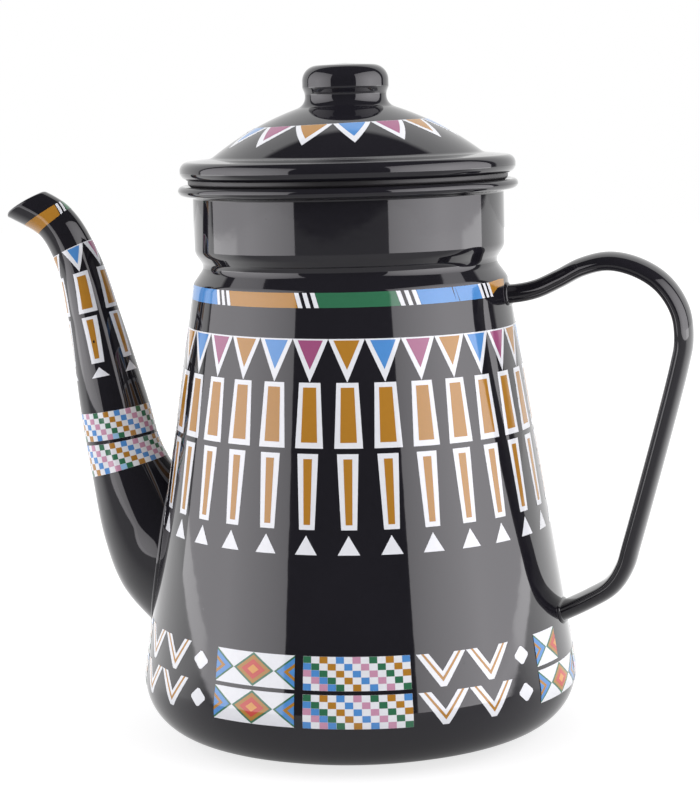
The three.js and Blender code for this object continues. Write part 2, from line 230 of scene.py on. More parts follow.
make_world()

# %% Lamps
# Each lamp is given by its degrees from the camera, its width in metres and its radiance.
LAMPS = {"left_soft_box": (-78, 1.6, 2.75), "right_soft_box": (70, 1.8, 3.3)}
LAMP_HEIGHT = 1.3
LAMP_DISTANCE = 1.0
LAMP_SPREAD = math.radians(130)
LAMP_COLOUR = (0.99, 0.965, 1.0)


def make_lamps():
    """A narrower spread gathers the light in the middle, so the power is divided by that gain."""
    half = LAMP_SPREAD / 2
    spread_gain = math.tan(half) / (math.tan(half) - half)
    for name, (angle, width, radiance) in LAMPS.items():
        azimuth = CAMERA_AZIMUTH + math.radians(angle)
        data = bpy.data.lights.new(name, "AREA")
        data.shape = "RECTANGLE"
        data.size = width
        data.size_y = LAMP_HEIGHT
        data.spread = LAMP_SPREAD
        data.energy = radiance * math.pi * width * LAMP_HEIGHT / spread_gain
        data.color = LAMP_COLOUR
        lamp = add_object(name, data)
        outwards = Vector((math.cos(azimuth), math.sin(azimuth), 0))
        lamp.location = outwards * LAMP_DISTANCE + Vector((0, 0, LAMP_HEIGHT / 2))
        lamp.rotation_euler = outwards.to_track_quat("Z", "Y").to_euler()
        lamp.visible_camera = False
    print("lamps:", sorted(LAMPS))


make_lamps()
bpy.context.scene.view_settings.view_transform = "Standard"

# %% [markdown]
# ## Fired glass
# Enamel is glass: it is very smooth, but a dipped coat has a faint orange-peel wave, a few specks
# and pinholes, and its gloss isn't quite even. All colours share these faults, so they live in
# one shader group. It gives out a colour factor, a roughness and a height.
# %% Shared group for fired enamel
WAVE_SCALE = 90.0
GRAIN_SCALE = 700.0
MOTTLE_SCALE = 24.0
SPECK_SCALE = 260.0
SPECK_RARITY = 0.965
SPECK_CORE = 0.04
SPECK_EDGE = 0.13
SPECK_ROUGHNESS = 0.18
PIT_DEPTH = 0.25
GLOSS_SWING = 0.03


def noise(tree, place, scale, detail, roughness=0.5):
    """A Noise Texture's value, as one output socket."""
    return add_node(tree, "ShaderNodeTexNoise", {
        "Vector": place, "Scale": scale, "Detail": detail, "Roughness": roughness,
    }).outputs["Fac"]


def fired_enamel_group():
    tree = bpy.data.node_groups.new("fired_enamel", "ShaderNodeTree")
    sockets = tree.interface
    sockets.new_socket("Vector", in_out="INPUT", socket_type="NodeSocketVector")
    for name, value in (
        ("Wave Scale", WAVE_SCALE), ("Grain Scale", GRAIN_SCALE), ("Mottle", 0.08), ("Gloss Roughness", 0.04),
    ):
        sockets.new_socket(name, in_out="INPUT", socket_type="NodeSocketFloat").default_value = value
    for name in ("Shade", "Roughness", "Height"):
        sockets.new_socket(name, in_out="OUTPUT", socket_type="NodeSocketFloat")
    given = tree.nodes.new("NodeGroupInput").outputs
    place = given["Vector"]
    wave = noise(tree, place, given["Wave Scale"], 2.0, 0.4)
    broad = noise(tree, place, MOTTLE_SCALE, 3.0, 0.55)
    grain = noise(tree, place, given["Grain Scale"], 1.0)
    cells = add_node(tree, "ShaderNodeTexVoronoi", {"Vector": place, "Scale": SPECK_SCALE}).outputs
    chosen = add_node(tree, "ShaderNodeSeparateColor", {0: cells["Color"]}).outputs[0]
    rare = combine(tree, "GREATER_THAN", chosen, SPECK_RARITY)
    near = remap(tree, cells["Distance"], SPECK_CORE, SPECK_EDGE, 1.0, 0.0)
    speck = combine(tree, "MULTIPLY", rare, near)
    swing = combine(tree, "MULTIPLY", combine(tree, "SUBTRACT", broad, 0.5), 2.0)
    fine = combine(tree, "SUBTRACT", grain, 0.5)
    shade = combine(tree, "MULTIPLY_ADD", combine(tree, "ADD", swing, fine), given["Mottle"], 1.0)
    dull = combine(tree, "MULTIPLY_ADD", broad, GLOSS_SWING, given["Gloss Roughness"])
    rough = combine(tree, "MULTIPLY_ADD", speck, SPECK_ROUGHNESS, dull)
    height = combine(tree, "MULTIPLY_ADD", speck, -PIT_DEPTH, wave)
    sent = tree.nodes.new("NodeGroupOutput").inputs
    for name, value in (("Shade", shade), ("Roughness", rough), ("Height", height)):
        tree.links.new(value, sent[name])
    return tree


FIRED_ENAMEL = fired_enamel_group()
print("group sockets:", [item.name for item in FIRED_ENAMEL.interface.items_tree])

# %% [markdown]
# ## The enamel colours
# The black is a cobalt glass that is nearly black, the inside is a cream white, and each transfer
# is coloured glass in a thin layer. All are the same recipe with another colour, mottle and gloss.
# %% Enamel materials
WAVE_HEIGHT = 0.000028
GLASS_IOR = 1.66


def enamel(name, colour, mottle, roughness):
    material = bpy.data.materials.new(name)
    material.use_nodes = True
    tree = material.node_tree
    shader = tree.nodes["Principled BSDF"]
    place = add_node(tree, "ShaderNodeTexCoord").outputs["Object"]
    glass = add_node(tree, "ShaderNodeGroup", {
        "Vector": place, "Mottle": mottle, "Gloss Roughness": roughness,
    }, node_tree=FIRED_ENAMEL).outputs
    base = scale_vector(tree, colour, glass["Shade"])
    bump = add_node(tree, "ShaderNodeBump", {
        "Strength": 1.0, "Distance": WAVE_HEIGHT, "Height": glass["Height"],
    }).outputs["Normal"]
    for socket, value in (("Base Color", base), ("Roughness", glass["Roughness"]), ("Normal", bump)):
        tree.links.new(value, shader.inputs[socket])
    shader.inputs["IOR"].default_value = GLASS_IOR
    return material


def from_screen(red, green, blue):
    """A colour as a screen shows it, from 0 to 255, turned into light."""
    def linear(value):
        share = value / 255
        return share / 12.92 if share <= 0.04045 else ((share + 0.055) / 1.055) ** 2.4
    return tuple(linear(value) for value in (red, green, blue))


BLACK = enamel("black_enamel_glass", (0.0115, 0.0108, 0.0145), mottle=0.25, roughness=0.03)
# Painted shade: this black coat darkens the skirt's upper part, standing in for the shade in the gap under
# the lid's edge. Its high roughness stands for rubbing by the rim.
PAINTED_SHADE_DULL_BLACK = enamel("black_painted_shade_rubbed", (0.012, 0.011, 0.013), mottle=0.3, roughness=0.42)
CREAM = enamel("cream_enamel_inside", (0.8, 0.79, 0.75), mottle=0.03, roughness=0.06)
INK_COLOURS = {
    "white": (229, 231, 235),
    "ochre": (174, 122, 42),
    "blue": (80, 140, 204),
    "magenta": (156, 82, 122),
    "green": (50, 109, 78),
    "red": (196, 68, 57),
    "orange": (216, 148, 66),
    "pink": (197, 144, 170),
    "pale_blue": (150, 192, 224),
}
INKS = {
    name: enamel("transfer_" + name, from_screen(*screen), mottle=0.07, roughness=0.06)
    for name, screen in INK_COLOURS.items()
}
INKS["black"] = BLACK
INK_NAMES = list(INKS)
print("enamels:", INK_NAMES)

# %% [markdown]
# ## Outlines of straight runs and arcs
# Every round piece of the pot is a sheet turned about the axis. Its outline is drawn once, with
# radius and height in millimetres, as straight runs and arcs. Each run keeps the direction that
# its surface faces, so that the turned mesh reflects like a true round and not like facets.
# %% Outline helpers
LONGEST_RUN = 4.0
ARC_STEP = math.radians(5)
TOUCHING = 1e-6


def straight(start, end):
    """Runs from start to end; the metal lies to the left."""
    length = math.dist(start, end)
    count = max(1, math.ceil(length / LONGEST_RUN))
    facing = ((end[1] - start[1]) / length, (start[0] - end[0]) / length)
    at = [tuple(a + (b - a) * i / count for a, b in zip(start, end)) for i in range(count + 1)]
    return [(a, b, facing, facing) for a, b in zip(at, at[1:])]


def bend(centre, radius, start, end, step=ARC_STEP):
    """An arc from one angle to another, in radians; turning clockwise makes it hollow."""
    count = max(2, math.ceil(abs(end - start) / step))
    side = 1 if end > start else -1
    runs = []
    for i in range(count):
        pair = [start + (end - start) * k / count for k in (i, i + 1)]
        points = [(centre[0] + radius * math.cos(a), centre[1] + radius * math.sin(a)) for a in pair]
        faces = [(side * math.cos(a), side * math.sin(a)) for a in pair]
        runs.append((points[0], points[1], faces[0], faces[1]))
    return runs


def rounded(corners):
    """Runs through corners of (radius, height, fillet)."""
    runs = []
    here = corners[0][:2]
    for before, corner, after in zip(corners, corners[1:], corners[2:]):
        way_in = Vector(corner[:2]) - Vector(before[:2])
        way_out = Vector(after[:2]) - Vector(corner[:2])
        way_in.normalize()
        way_out.normalize()
        turn = math.atan2(way_in.x * way_out.y - way_in.y * way_out.x, way_in.dot(way_out))
        cut = corner[2] * math.tan(abs(turn) / 2)
        start = Vector(corner[:2]) - way_in * cut
        if math.dist(here, start) > TOUCHING:
            runs += straight(here, tuple(start))
        here = corner[:2]
        if corner[2]:
            side = 1 if turn > 0 else -1
            inward = Vector((-way_in.y, way_in.x)) * side
            centre = start + inward * corner[2]
            first = math.atan2(-inward.y, -inward.x)
            runs += bend(tuple(centre), corner[2], first, first + turn)
            here = runs[-1][1]
    return runs + straight(here, corners[-1][:2])


def inner_side(runs, sheet):
    """The other side of a sheet, run backwards."""
    def inset(point, facing):
        return (point[0] - facing[0] * sheet, point[1] - facing[1] * sheet)
    return [
        (inset(b, nb), inset(a, na), (-nb[0], -nb[1]), (-na[0], -na[1]))
        for a, b, na, nb in reversed(runs)
    ]


def closed_outline(*chains):
    """Chains joined end to end, with a straight run where two don't meet."""
    runs = []
    for chain in chains:
        if runs and math.dist(runs[-1][1], chain[0][0]) > TOUCHING:
            runs += straight(runs[-1][1], chain[0][0])
        runs += chain
    if math.dist(runs[-1][1], runs[0][0]) > TOUCHING:
        runs += straight(runs[-1][1], runs[0][0])
    return runs


# %% Turning an outline
ROUND_SIDES = 256
ROUND_ANGLES = [2 * math.pi * j / ROUND_SIDES for j in range(ROUND_SIDES)]
ON_AXIS = 1e-9


def spun(place, angle):
    """A point or a facing of an outline, turned about the axis."""
    return (place[0] * math.cos(angle), place[0] * math.sin(angle), place[1])


def signed_volume(mesh):
    """Positive where the faces of a closed mesh point outwards."""
    mesh.calc_loop_triangles()
    places = [vertex.co for vertex in mesh.vertices]
    return sum(
        places[a].dot(places[b].cross(places[c])) for a, b, c in (t.vertices for t in mesh.loop_triangles)
    ) / 6


def new_piece(name, points, faces, facings, paints, materials):
    """A mesh object from points in millimetres, with a facing for every corner of every face."""
    mesh = bpy.data.meshes.new(name)
    mesh.from_pydata([tuple(v * MM for v in point) for point in points], [], faces)
    mesh.polygons.foreach_set("use_smooth", [True] * len(faces))
    mesh.polygons.foreach_set("material_index", paints)
    for material in materials:
        mesh.materials.append(material)
    mesh.normals_split_custom_set(facings)
    mesh.update()
    piece = add_object(name, mesh)
    print(name, "faces:", len(faces), "volume in ml:", round(signed_volume(mesh) * 1e6, 2))
    return piece


def turned(name, runs, materials, coats=None):
    """Turn a closed outline about the axis; coats names the material of each run, in order."""
    points = []
    rings = []
    for start, _, _, _ in runs:
        if abs(start[0]) < ON_AXIS:
            rings.append([len(points)] * ROUND_SIDES)
            points.append((0, 0, start[1]))
        else:
            rings.append(list(range(len(points), len(points) + ROUND_SIDES)))
            points += [spun(start, angle) for angle in ROUND_ANGLES]
    faces = []
    facings = []
    paints = []
    for i, (_, _, first, last) in enumerate(runs):
        low, high = rings[i], rings[(i + 1) % len(rings)]
        if low[0] == low[1] and high[0] == high[1]:
            continue
        for j in range(ROUND_SIDES):
            k = (j + 1) % ROUND_SIDES
            kept = {}
            for vertex, side, facing in (
                (low[j], j, first), (low[k], k, first), (high[k], k, last), (high[j], j, last),
            ):
                kept.setdefault(vertex, spun(facing, ROUND_ANGLES[side]))
            faces.append(list(kept))
            facings += kept.values()
            paints.append(materials.index(coats[i]) if coats else 0)
    return new_piece(name, points, faces, facings, paints, materials)


def settle(piece, body, slot, *nodes):
    """Say which body carries the piece, and which CAD nodes it stands for."""
    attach(piece, body)
    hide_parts(*nodes)


# %% [markdown]
# ## The pot's wall and base
# The cone, the shoulder, the neck groove and the collar are one drawn sheet whose mouth is
# rolled outwards over a bead. The base is pressed separately and seam welded, and the enamel
# runs over the weld, so that no joint shows. Both are turned, and both outlines meet on the straight cone.
# %% Pot wall and base
FOOT_RADIUS = 77.2
REST_RADIUS = 52
REST_FILLET = 60
CONE_TOP = (52.8, 154.4)
SHOULDER_FILLET = 3.6
GROOVE = (48.9, 159.8)
GROOVE_FILLET = 3.0
NECK = (52.1, 164.6)
NECK_FILLET = 4.5
POT_SHEET = 1.2
MOUTH_TOP = 186.9
MOUTH_FLARE = 4.4
MOUTH_RADIUS = NECK[0] - POT_SHEET
FLARE_ROOT = (NECK[0], 183.1, 0.7)
FLARE_END = (54.736, 183.7, 0)
RIM_CENTRE = (55.3, 185.25)
RIM_RADIUS = 1.65
RIM_START = math.radians(-110)
SEAM_HEIGHT = 27.3
BASE_LAP_TOP = 32.0
LAP_GAP = 0.1


def cone_radius(height):
    return FOOT_RADIUS - (FOOT_RADIUS - CONE_TOP[0]) * height / CONE_TOP[1]


HEEL_HEIGHT = 8.6
HEEL = (cone_radius(HEEL_HEIGHT), HEEL_HEIGHT, 17.8)
SEAM = (cone_radius(SEAM_HEIGHT), SEAM_HEIGHT, 0)
WALL_CORNERS = [SEAM, (*CONE_TOP, SHOULDER_FILLET), (*GROOVE, GROOVE_FILLET), (*NECK, NECK_FILLET)]


def make_pot_wall():
    skin = rounded([*WALL_CORNERS, FLARE_ROOT, FLARE_END])
    bead = bend(RIM_CENTRE, RIM_RADIUS, RIM_START, math.radians(90))
    collar_top = MOUTH_TOP - MOUTH_FLARE
    mouth = bend((RIM_CENTRE[0], collar_top), MOUTH_FLARE, math.radians(90), math.radians(180))
    inside = inner_side(rounded([*WALL_CORNERS, (NECK[0], collar_top, 0)]), POT_SHEET)
    runs = closed_outline(skin, bead, mouth, inside)
    coats = [CREAM if i >= len(runs) - len(inside) - 1 else BLACK for i in range(len(runs))]
    return turned("pot_wall_skin", runs, [BLACK, CREAM], coats)


def make_pot_base():
    skin = rounded([(0, 0, 0), (REST_RADIUS, 0, REST_FILLET), HEEL, SEAM])
    lap = POT_SHEET + LAP_GAP
    lip = straight(*[(cone_radius(height) - lap, height) for height in (SEAM_HEIGHT, BASE_LAP_TOP)])
    inside = inner_side(skin, POT_SHEET + lap)
    start, _, first, last = inside[-1]
    inside[-1] = (start, (0, POT_SHEET + lap), first, last)
    runs = closed_outline(skin, lip, inside)
    coats = [BLACK if i < len(skin) else CREAM for i in range(len(runs))]
    return turned("pot_base_skin", runs, [BLACK, CREAM], coats)


POT_WALL = make_pot_wall()
POT_BASE = make_pot_base()

# %% [markdown]
# ## The strainer
# Behind the spout the wall is pierced with five short rows of holes, so that the grounds stay in
# the pot. Geometry Nodes put one drill on each point of the rows, and a boolean takes the drills
# out of the wall. The boolean loses the facings, so they are noted before and given back after it.
# %% Strainer drills
STRAINER_HEIGHT = 57
STRAINER_ROWS = (2, 3, 4, 3, 2)
STRAINER_PITCH = 8
HOLE_RADIUS = 2.5
DRILL_LENGTH = 20
DRILL_SIDES = 32
PLACE_DIGITS = 6
SAME_WAY = 0.9


def geometry_tree(name, inputs):
    """A new tree and the sockets of its inputs, which are given as (kind, first value)."""
    tree = bpy.data.node_groups.new(name, "GeometryNodeTree")
    for way in ("INPUT", "OUTPUT"):
        tree.interface.new_socket("Geometry", in_out=way, socket_type="NodeSocketGeometry")
    for label, (kind, value) in inputs.items():
        socket = tree.interface.new_socket(label, in_out="INPUT", socket_type="NodeSocket" + kind)
        if value is not None:
            socket.default_value = value
    return tree, tree.nodes.new("NodeGroupInput").outputs


def coated(tree, geometry, coat):
    """The geometry made real and given its enamel."""
    real = add_node(tree, "GeometryNodeRealizeInstances", {"Geometry": geometry}).outputs[0]
    return add_node(tree, "GeometryNodeSetMaterial", {"Geometry": real, "Material": coat}).outputs[0]


def lead_out(tree, geometry):
    tree.links.new(geometry, tree.nodes.new("NodeGroupOutput").inputs[0])
    return tree


def plain_result(worker):
    """A plain mesh of what an object's modifiers make."""
    graph = bpy.context.evaluated_depsgraph_get()
    return bpy.data.meshes.new_from_object(
        worker.evaluated_get(graph), preserve_all_data_layers=True, depsgraph=graph,
    )


def grown(name, mesh, tree, values):
    """Run a Geometry Nodes tree on a mesh with its inputs set, and keep the plain result."""
    worker = add_object(name + "_seed", mesh)
    modifier = worker.modifiers.new("grow", "NODES")
    modifier.node_group = tree
    for item in tree.interface.items_tree:
        if item.item_type == "SOCKET" and item.in_out == "INPUT" and item.name in values:
            modifier[item.identifier] = values[item.name]
    result = plain_result(worker)
    result.name = name
    bpy.data.objects.remove(worker)
    return add_object(name, result)


def smooth_and_outwards(mesh):
    """Shade a grown mesh smooth, with its faces outwards."""
    if signed_volume(mesh) < 0:
        mesh.flip_normals()
    mesh.polygons.foreach_set("use_smooth", [True] * len(mesh.polygons))


def strainer_points():
    rise = STRAINER_PITCH * math.sin(math.pi / 3)
    points = []
    for row, count in enumerate(STRAINER_ROWS):
        height = STRAINER_HEIGHT + (row - (len(STRAINER_ROWS) - 1) / 2) * rise
        for i in range(count):
            across = (i - (count - 1) / 2) * STRAINER_PITCH
            points.append((-cone_radius(STRAINER_HEIGHT) * MM, across * MM, height * MM))
    mesh = bpy.data.meshes.new("strainer_points")
    mesh.from_pydata(points, [], [])
    return mesh


def drill_tree():
    tree, given = geometry_tree("strainer_drills", {
        "Hole Radius": ("Float", HOLE_RADIUS * MM), "Drill Length": ("Float", DRILL_LENGTH * MM),
        "Enamel": ("Material", None),
    })
    drill = add_node(tree, "GeometryNodeMeshCylinder", {
        "Vertices": DRILL_SIDES, "Radius": given["Hole Radius"], "Depth": given["Drill Length"],
    }).outputs["Mesh"]
    placed = add_node(tree, "GeometryNodeInstanceOnPoints", {
        "Points": given["Geometry"], "Instance": drill, "Rotation": (0, math.pi / 2, 0),
    }).outputs[0]
    return lead_out(tree, coated(tree, placed, given["Enamel"]))


def key(place):
    """A place in a form that finds it again."""
    return tuple(round(v, PLACE_DIGITS) for v in place)


def facings_by_place(mesh):
    """For each face's centre, the facing kept at each of its corners."""
    normals = mesh.corner_normals
    return {
        key(face.center): {
            key(mesh.vertices[vertex].co): tuple(normals[loop].vector)
            for loop, vertex in zip(face.loop_indices, face.vertices)
        }
        for face in mesh.polygons
    }


def cone_facing(place, side):
    """Which way the straight cone's outside (1) or inside (-1) faces at a place."""
    rise = (FOOT_RADIUS - CONE_TOP[0]) / CONE_TOP[1]
    flat = Vector((place.x, place.y, 0)).normalized()
    return (flat + Vector((0, 0, rise))).normalized() * side


def pierce(wall):
    before = facings_by_place(wall.data)
    drills = grown("strainer_drills", strainer_points(), drill_tree(), {"Enamel": CREAM})
    cut = wall.modifiers.new("pierce", "BOOLEAN")
    cut.object = drills
    cut.operation = "DIFFERENCE"
    cut.solver = "EXACT"
    result = plain_result(wall)
    wall.modifiers.clear()
    wall.data = result
    bpy.data.objects.remove(drills)
    facings = []
    for face in result.polygons:
        corners = before.get(key(face.center), {})
        lean = face.normal.dot(cone_facing(face.center, 1))
        for vertex in face.vertices:
            place = result.vertices[vertex].co
            known = corners.get(key(place))
            if known:
                facings.append(known)
            elif abs(lean) > SAME_WAY:
                facings.append(tuple(cone_facing(place, math.copysign(1, lean))))
            else:
                facings.append(tuple(face.normal))
    result.normals_split_custom_set(facings)
    print("wall faces after piercing:", len(result.polygons))


# %% Pierce the wall
pierce(POT_WALL)
settle(POT_WALL, "pot", "black_enamel", "pot_wall")
settle(POT_BASE, "pot", "black_enamel", "pot_base")

# %% [markdown]
# ## Curves through measured stations
# The spout and the handle are each measured at a few stations: how far out, how high and how
# wide. A centripetal curve through them gives the path, as it does in the frame, so both keep
# the frame's line while the skin gets many more sections.
# %% Station curve
SHOULDER = CONE_TOP[1]


def on_cone(row, base=0.0):
    out, up, half = row
    return Vector((cone_radius(base + up) + out, base + up, half))


def knot_span(a, b):
    return max((b - a).length ** 0.5, 1e-4)


def hermite(rows, count):
    """Points and directions along a centripetal curve, evenly spaced in its parameter."""
    before = rows[0] * 2 - rows[1]
    after = rows[-1] * 2 - rows[-2]
    padded = [before, *rows, after]
    result = []
    for step in range(count + 1):
        place = (len(rows) - 1) * step / count
        index = min(int(place), len(rows) - 2)
        share = place - index
        a, b, c, d = padded[index:index + 4]
        t0, t1, t2 = knot_span(a, b), knot_span(b, c), knot_span(c, d)
        lead = ((b - a) / t0 - (c - a) / (t0 + t1) + (c - b) / t1) * t1
        trail = ((c - b) / t1 - (d - b) / (t1 + t2) + (d - c) / t2) * t1
        square = b * -3 + c * 3 - lead * 2 - trail
        cube = b * 2 - c * 2 + lead + trail
        point = b + lead * share + square * share ** 2 + cube * share ** 3
        along = lead + square * 2 * share + cube * 3 * share ** 2
        result.append((point, Vector((along.x, along.y)).normalized()))
    return result


# %% [markdown]
# ## The spout
# The gooseneck is pressed in two halves and welded along its middle. Each half is drawn here as
# many lines that run from the pot's skin to the mouth, so its ends follow the pot and the slanted
# mouth exactly. The lip is rounded over and the enamel hides the weld.
# %% Spout stations
# Each row says how far out from the cone, how high, and how wide to each side.
SPOUT_ROWS = [on_cone(row) for row in (
    (-20, 44.5, 22.6), (-1.5, 61, 22.3), (7.2, 71.5, 18.6), (18.4, 91.7, 13.4), (26.2, 112.7, 11.8),
)] + [on_cone(row, SHOULDER) for row in (
    (36.2, -13.7, 9.1), (44.9, 7.2, 7.6), (54.8, 20.6, 7.1), (67.7, 27.4, 6.7), (76.3, 30.6, 6.4),
)]
SPOUT_SECTIONS = 360
SPOUT_LINES = 96
SPOUT_RINGS = 190
SPOUT_SLIMNESS = 0.78
SPOUT_WIDE = 22.3
SPOUT_NARROW = 9.1
LIP_HEIGHT = SHOULDER + 31.2
LIP_RADIUS = cone_radius(LIP_HEIGHT) + 60.2
LIP_SLOPE = math.radians(30)
LIP_ARCH = 1.4
LIP_PULL = 0.7
LIP_STEPS = 8
# The mouth's cut bulges about the first value of LIP_MIDDLE, and over the second to each side.
LIP_BULGE = 0.75
LIP_MIDDLE = (8.8, 7.6)
LIP_FLARE = 0.9
FLARE_START = 0.9
TIP_PULL = 0.9
SPOUT_PATH = hermite(SPOUT_ROWS, SPOUT_SECTIONS)
STRAIGHT_FROM = 20


def spout_point(section, angle, sheet=0.0):
    """A point on the spout's skin, or one sheet inside it."""
    place, along = SPOUT_PATH[section]
    half = place.z
    share = min(1, max(0, (half - SPOUT_NARROW) / (SPOUT_WIDE - SPOUT_NARROW)))
    near_root = share * share * (3 - 2 * share)
    sideways = half * (1 - (1 - SPOUT_SLIMNESS) * near_root) - sheet
    at_end = max(0, section / SPOUT_SECTIONS - FLARE_START) / (1 - FLARE_START)
    flare = LIP_FLARE * at_end ** 2 * max(0, math.cos(angle)) ** 2
    across = Vector((along.y, -along.x)) * math.cos(angle) * (half - sheet + flare)
    return Vector((-(place.x + across.x), math.sin(angle) * sideways, place.y + across.y))


def pot_skin_radius(height):
    return cone_radius(min(max(height, STRAIGHT_FROM), SHOULDER))


def outside_pot(point):
    return math.hypot(point.x, point.y) - pot_skin_radius(point.z)


def before_mouth(point):
    """How far a point is from the mouth's cut, which is a little arched both ways."""
    arch = LIP_ARCH * (point.y / SPOUT_NARROW) ** 2
    out = -point.x - LIP_RADIUS
    up = point.z - LIP_HEIGHT
    place = (math.cos(LIP_SLOPE) * out - math.sin(LIP_SLOPE) * up - LIP_MIDDLE[0]) / LIP_MIDDLE[1]
    bulge = LIP_BULGE * max(0, 1 - place ** 2)
    return bulge - (math.sin(LIP_SLOPE) * out + math.cos(LIP_SLOPE) * up) - LIP_PULL - arch


def crossing(line, measure, start):
    """Where a line of points passes from positive to negative, as a fraction of its index."""
    for i in range(start, len(line) - 1):
        a, b = measure(line[i]), measure(line[i + 1])
        if a > 0 >= b:
            return i + a / (a - b)
    return len(line) - 1


def at_fraction(line, place):
    index = min(int(place), len(line) - 2)
    return line[index].lerp(line[index + 1], place - index)


def spout_line(angle, sheet, pull=0.0):
    """One line of the spout from the pot's skin to its mouth, in even steps."""
    line = [spout_point(section, angle, sheet) for section in range(SPOUT_SECTIONS + 1)]
    root = crossing(line, lambda p: -outside_pot(p), 0)
    pull *= max(0, math.cos(angle)) ** 2
    mouth = crossing(line, lambda p: before_mouth(p) - pull, SPOUT_SECTIONS // 2)
    return [at_fraction(line, root + (mouth - root) * i / SPOUT_RINGS) for i in range(SPOUT_RINGS + 1)]


def grid_facings(grid):
    """The facing at each point of a grid that closes round its first index."""
    facings = []
    for j, line in enumerate(grid):
        left, right = grid[j - 1], grid[(j + 1) % len(grid)]
        row = []
        for i in range(len(line)):
            along = line[min(i + 1, len(line) - 1)] - line[max(i - 1, 0)]
            row.append((right[i] - left[i]).cross(along).normalized())
        facings.append(row)
    return facings


# %% Spout halves


def spout_skin(sheet):
    """All lines of the spout's outside, or of its inside one sheet further in."""
    return [spout_line(-2 * math.pi * j / SPOUT_LINES, sheet, TIP_PULL) for j in range(SPOUT_LINES)]


def lip_points(outside, inside, along):
    """A half circle from the outer edge of the mouth to its inner edge."""
    middle = (outside + inside) / 2
    arm = (outside - inside) / 2
    angles = [math.pi * step / LIP_STEPS for step in range(1, LIP_STEPS)]
    return [middle + arm * math.cos(a) + along * math.sin(a) * arm.length for a in angles]


def section_loops(outer, inner):
    """For each line: outside to the mouth, over the lip, and back down inside."""
    loops = []
    for outside, inside in zip(outer, inner):
        along = (outside[-1] - outside[-3]).normalized()
        loops.append(outside + lip_points(outside[-1], inside[-1], along) + inside[::-1])
    return loops


def make_spout_half(name, loops, loop_facings, node):
    """A skin between neighbouring loops, closed at the root and along both seams."""
    size = len(loops[0])
    points = [tuple(p) for loop in loops for p in loop]
    faces = []
    facings = []
    paints = []

    def add_face(face, ways, paint=0):
        faces.append(face)
        facings.extend(tuple(way) for way in ways)
        paints.append(paint)

    for j in range(len(loops) - 1):
        for i in range(size - 1):
            corners = ((j, i), (j + 1, i), (j + 1, i + 1), (j, i + 1))
            inside = int(i >= SPOUT_RINGS + LIP_STEPS)
            add_face([a * size + b for a, b in corners], [loop_facings[a][b] for a, b in corners], inside)
        root = (loops[j + 1][0] - loops[j][0]).cross(loops[j][0] - loops[j][-1]).normalized()
        add_face([(j + 1) * size - 1, (j + 2) * size - 1, (j + 1) * size, j * size], [root] * 4)
    seam = Vector((0, -math.copysign(1, loops[len(loops) // 2][0].y), 0))
    for j in (0, len(loops) - 1):
        loop = loops[j]
        turn = (loop[1] - loop[0]).cross(loop[-1] - loop[0])
        for i in range(SPOUT_RINGS + LIP_STEPS // 2):
            k = size - 1 - i
            rung = (i, i + 1, k - 1, k) if i + 1 < k - 1 else (i, i + 1, k)
            face = [j * size + v for v in rung]
            if turn.dot(seam) < 0:
                face.reverse()
            add_face(face, [seam] * len(face))
    settle(new_piece(name, points, faces, facings, paints, [BLACK, CREAM]), "pot", "black_enamel", node)


SPOUT_OUTER = spout_skin(0.0)
SPOUT_LOOPS = section_loops(SPOUT_OUTER, spout_skin(POT_SHEET))
SPOUT_FACINGS = grid_facings(SPOUT_LOOPS)
HALF = SPOUT_LINES // 2
for half_node, half_lines in (
    ("spout_right", range(HALF + 1)), ("spout_left", [*range(HALF, SPOUT_LINES), 0]),
):
    make_spout_half(
        half_node + "_skin", [SPOUT_LOOPS[j] for j in half_lines], [SPOUT_FACINGS[j] for j in half_lines],
        half_node,
    )

# %% [markdown]
# ## The handle
# The handle is a hollow strap: a pressed channel with a round back, closed by a flat strip that
# your fingers rest on. The strip's two edges stand a little proud of the channel, and glass
# pools in the crease between them, which draws two fine light lines along the handle.
# %% Handle sections
# The rows are like those of the spout: out from the cone, up, and half the width.
HANDLE_ROWS = [on_cone(row) for row in (
    (-4.4, 42.8, 8), (8.5, 48.6, 8), (16.2, 53, 8), (20.8, 58.6, 8), (24.4, 66.3, 8),
)] + [on_cone(row, SHOULDER) for row in (
    (50.1, -28.4, 8.6), (52.6, -20.9, 8.8), (53, -12.4, 9), (49.6, -4.8, 9), (43.3, 0, 8.8), (35.2, 2.1, 8.4),
    (26.9, 0.5, 7.6), (18.8, -3.2, 6.6), (10.3, -6.7, 5.6), (2, -8.3, 5), (-8, -8.4, 5),
)]
HANDLE_SECTIONS = 420
HANDLE_RINGS = 300
HANDLE_DEPTH = 6.0
STRIP_SHEET = 1.5
STRIP_EDGE = 0.6
STRIP_CROWN = 0.35
STRIP_SHARES = (0, 0.2, 0.4, 0.6, 0.75, 0.88)
STRIP_SHOULDER = 0.35
CREASE_DEPTH = 0.22
CREASE_INSET = 0.05
CREASE_RISE = 0.3
CHANNEL_START = 0.5
CHANNEL_STEPS = 26
EDGE_STEPS = 5
# Any half width serves to count the points of a section.
ANY_HALF = 8.0
HANDLE_PATH = hermite(HANDLE_ROWS, HANDLE_SECTIONS)


def strip_section(half):
    """Half of the flat strip's outline: x across, y outwards from the inner face."""
    points = [(half * share, STRIP_CROWN * (2 * share ** 2 - 1)) for share in STRIP_SHARES]
    for step in range(EDGE_STEPS + 1):
        angle = math.pi / 2 * (step / EDGE_STEPS - 1)
        x = half - STRIP_EDGE * (1 - math.cos(angle))
        points.append((x, STRIP_CROWN + STRIP_EDGE * (1 + math.sin(angle))))
    return points + [(half, STRIP_SHEET - STRIP_SHOULDER), (half - CREASE_DEPTH, STRIP_SHEET)]


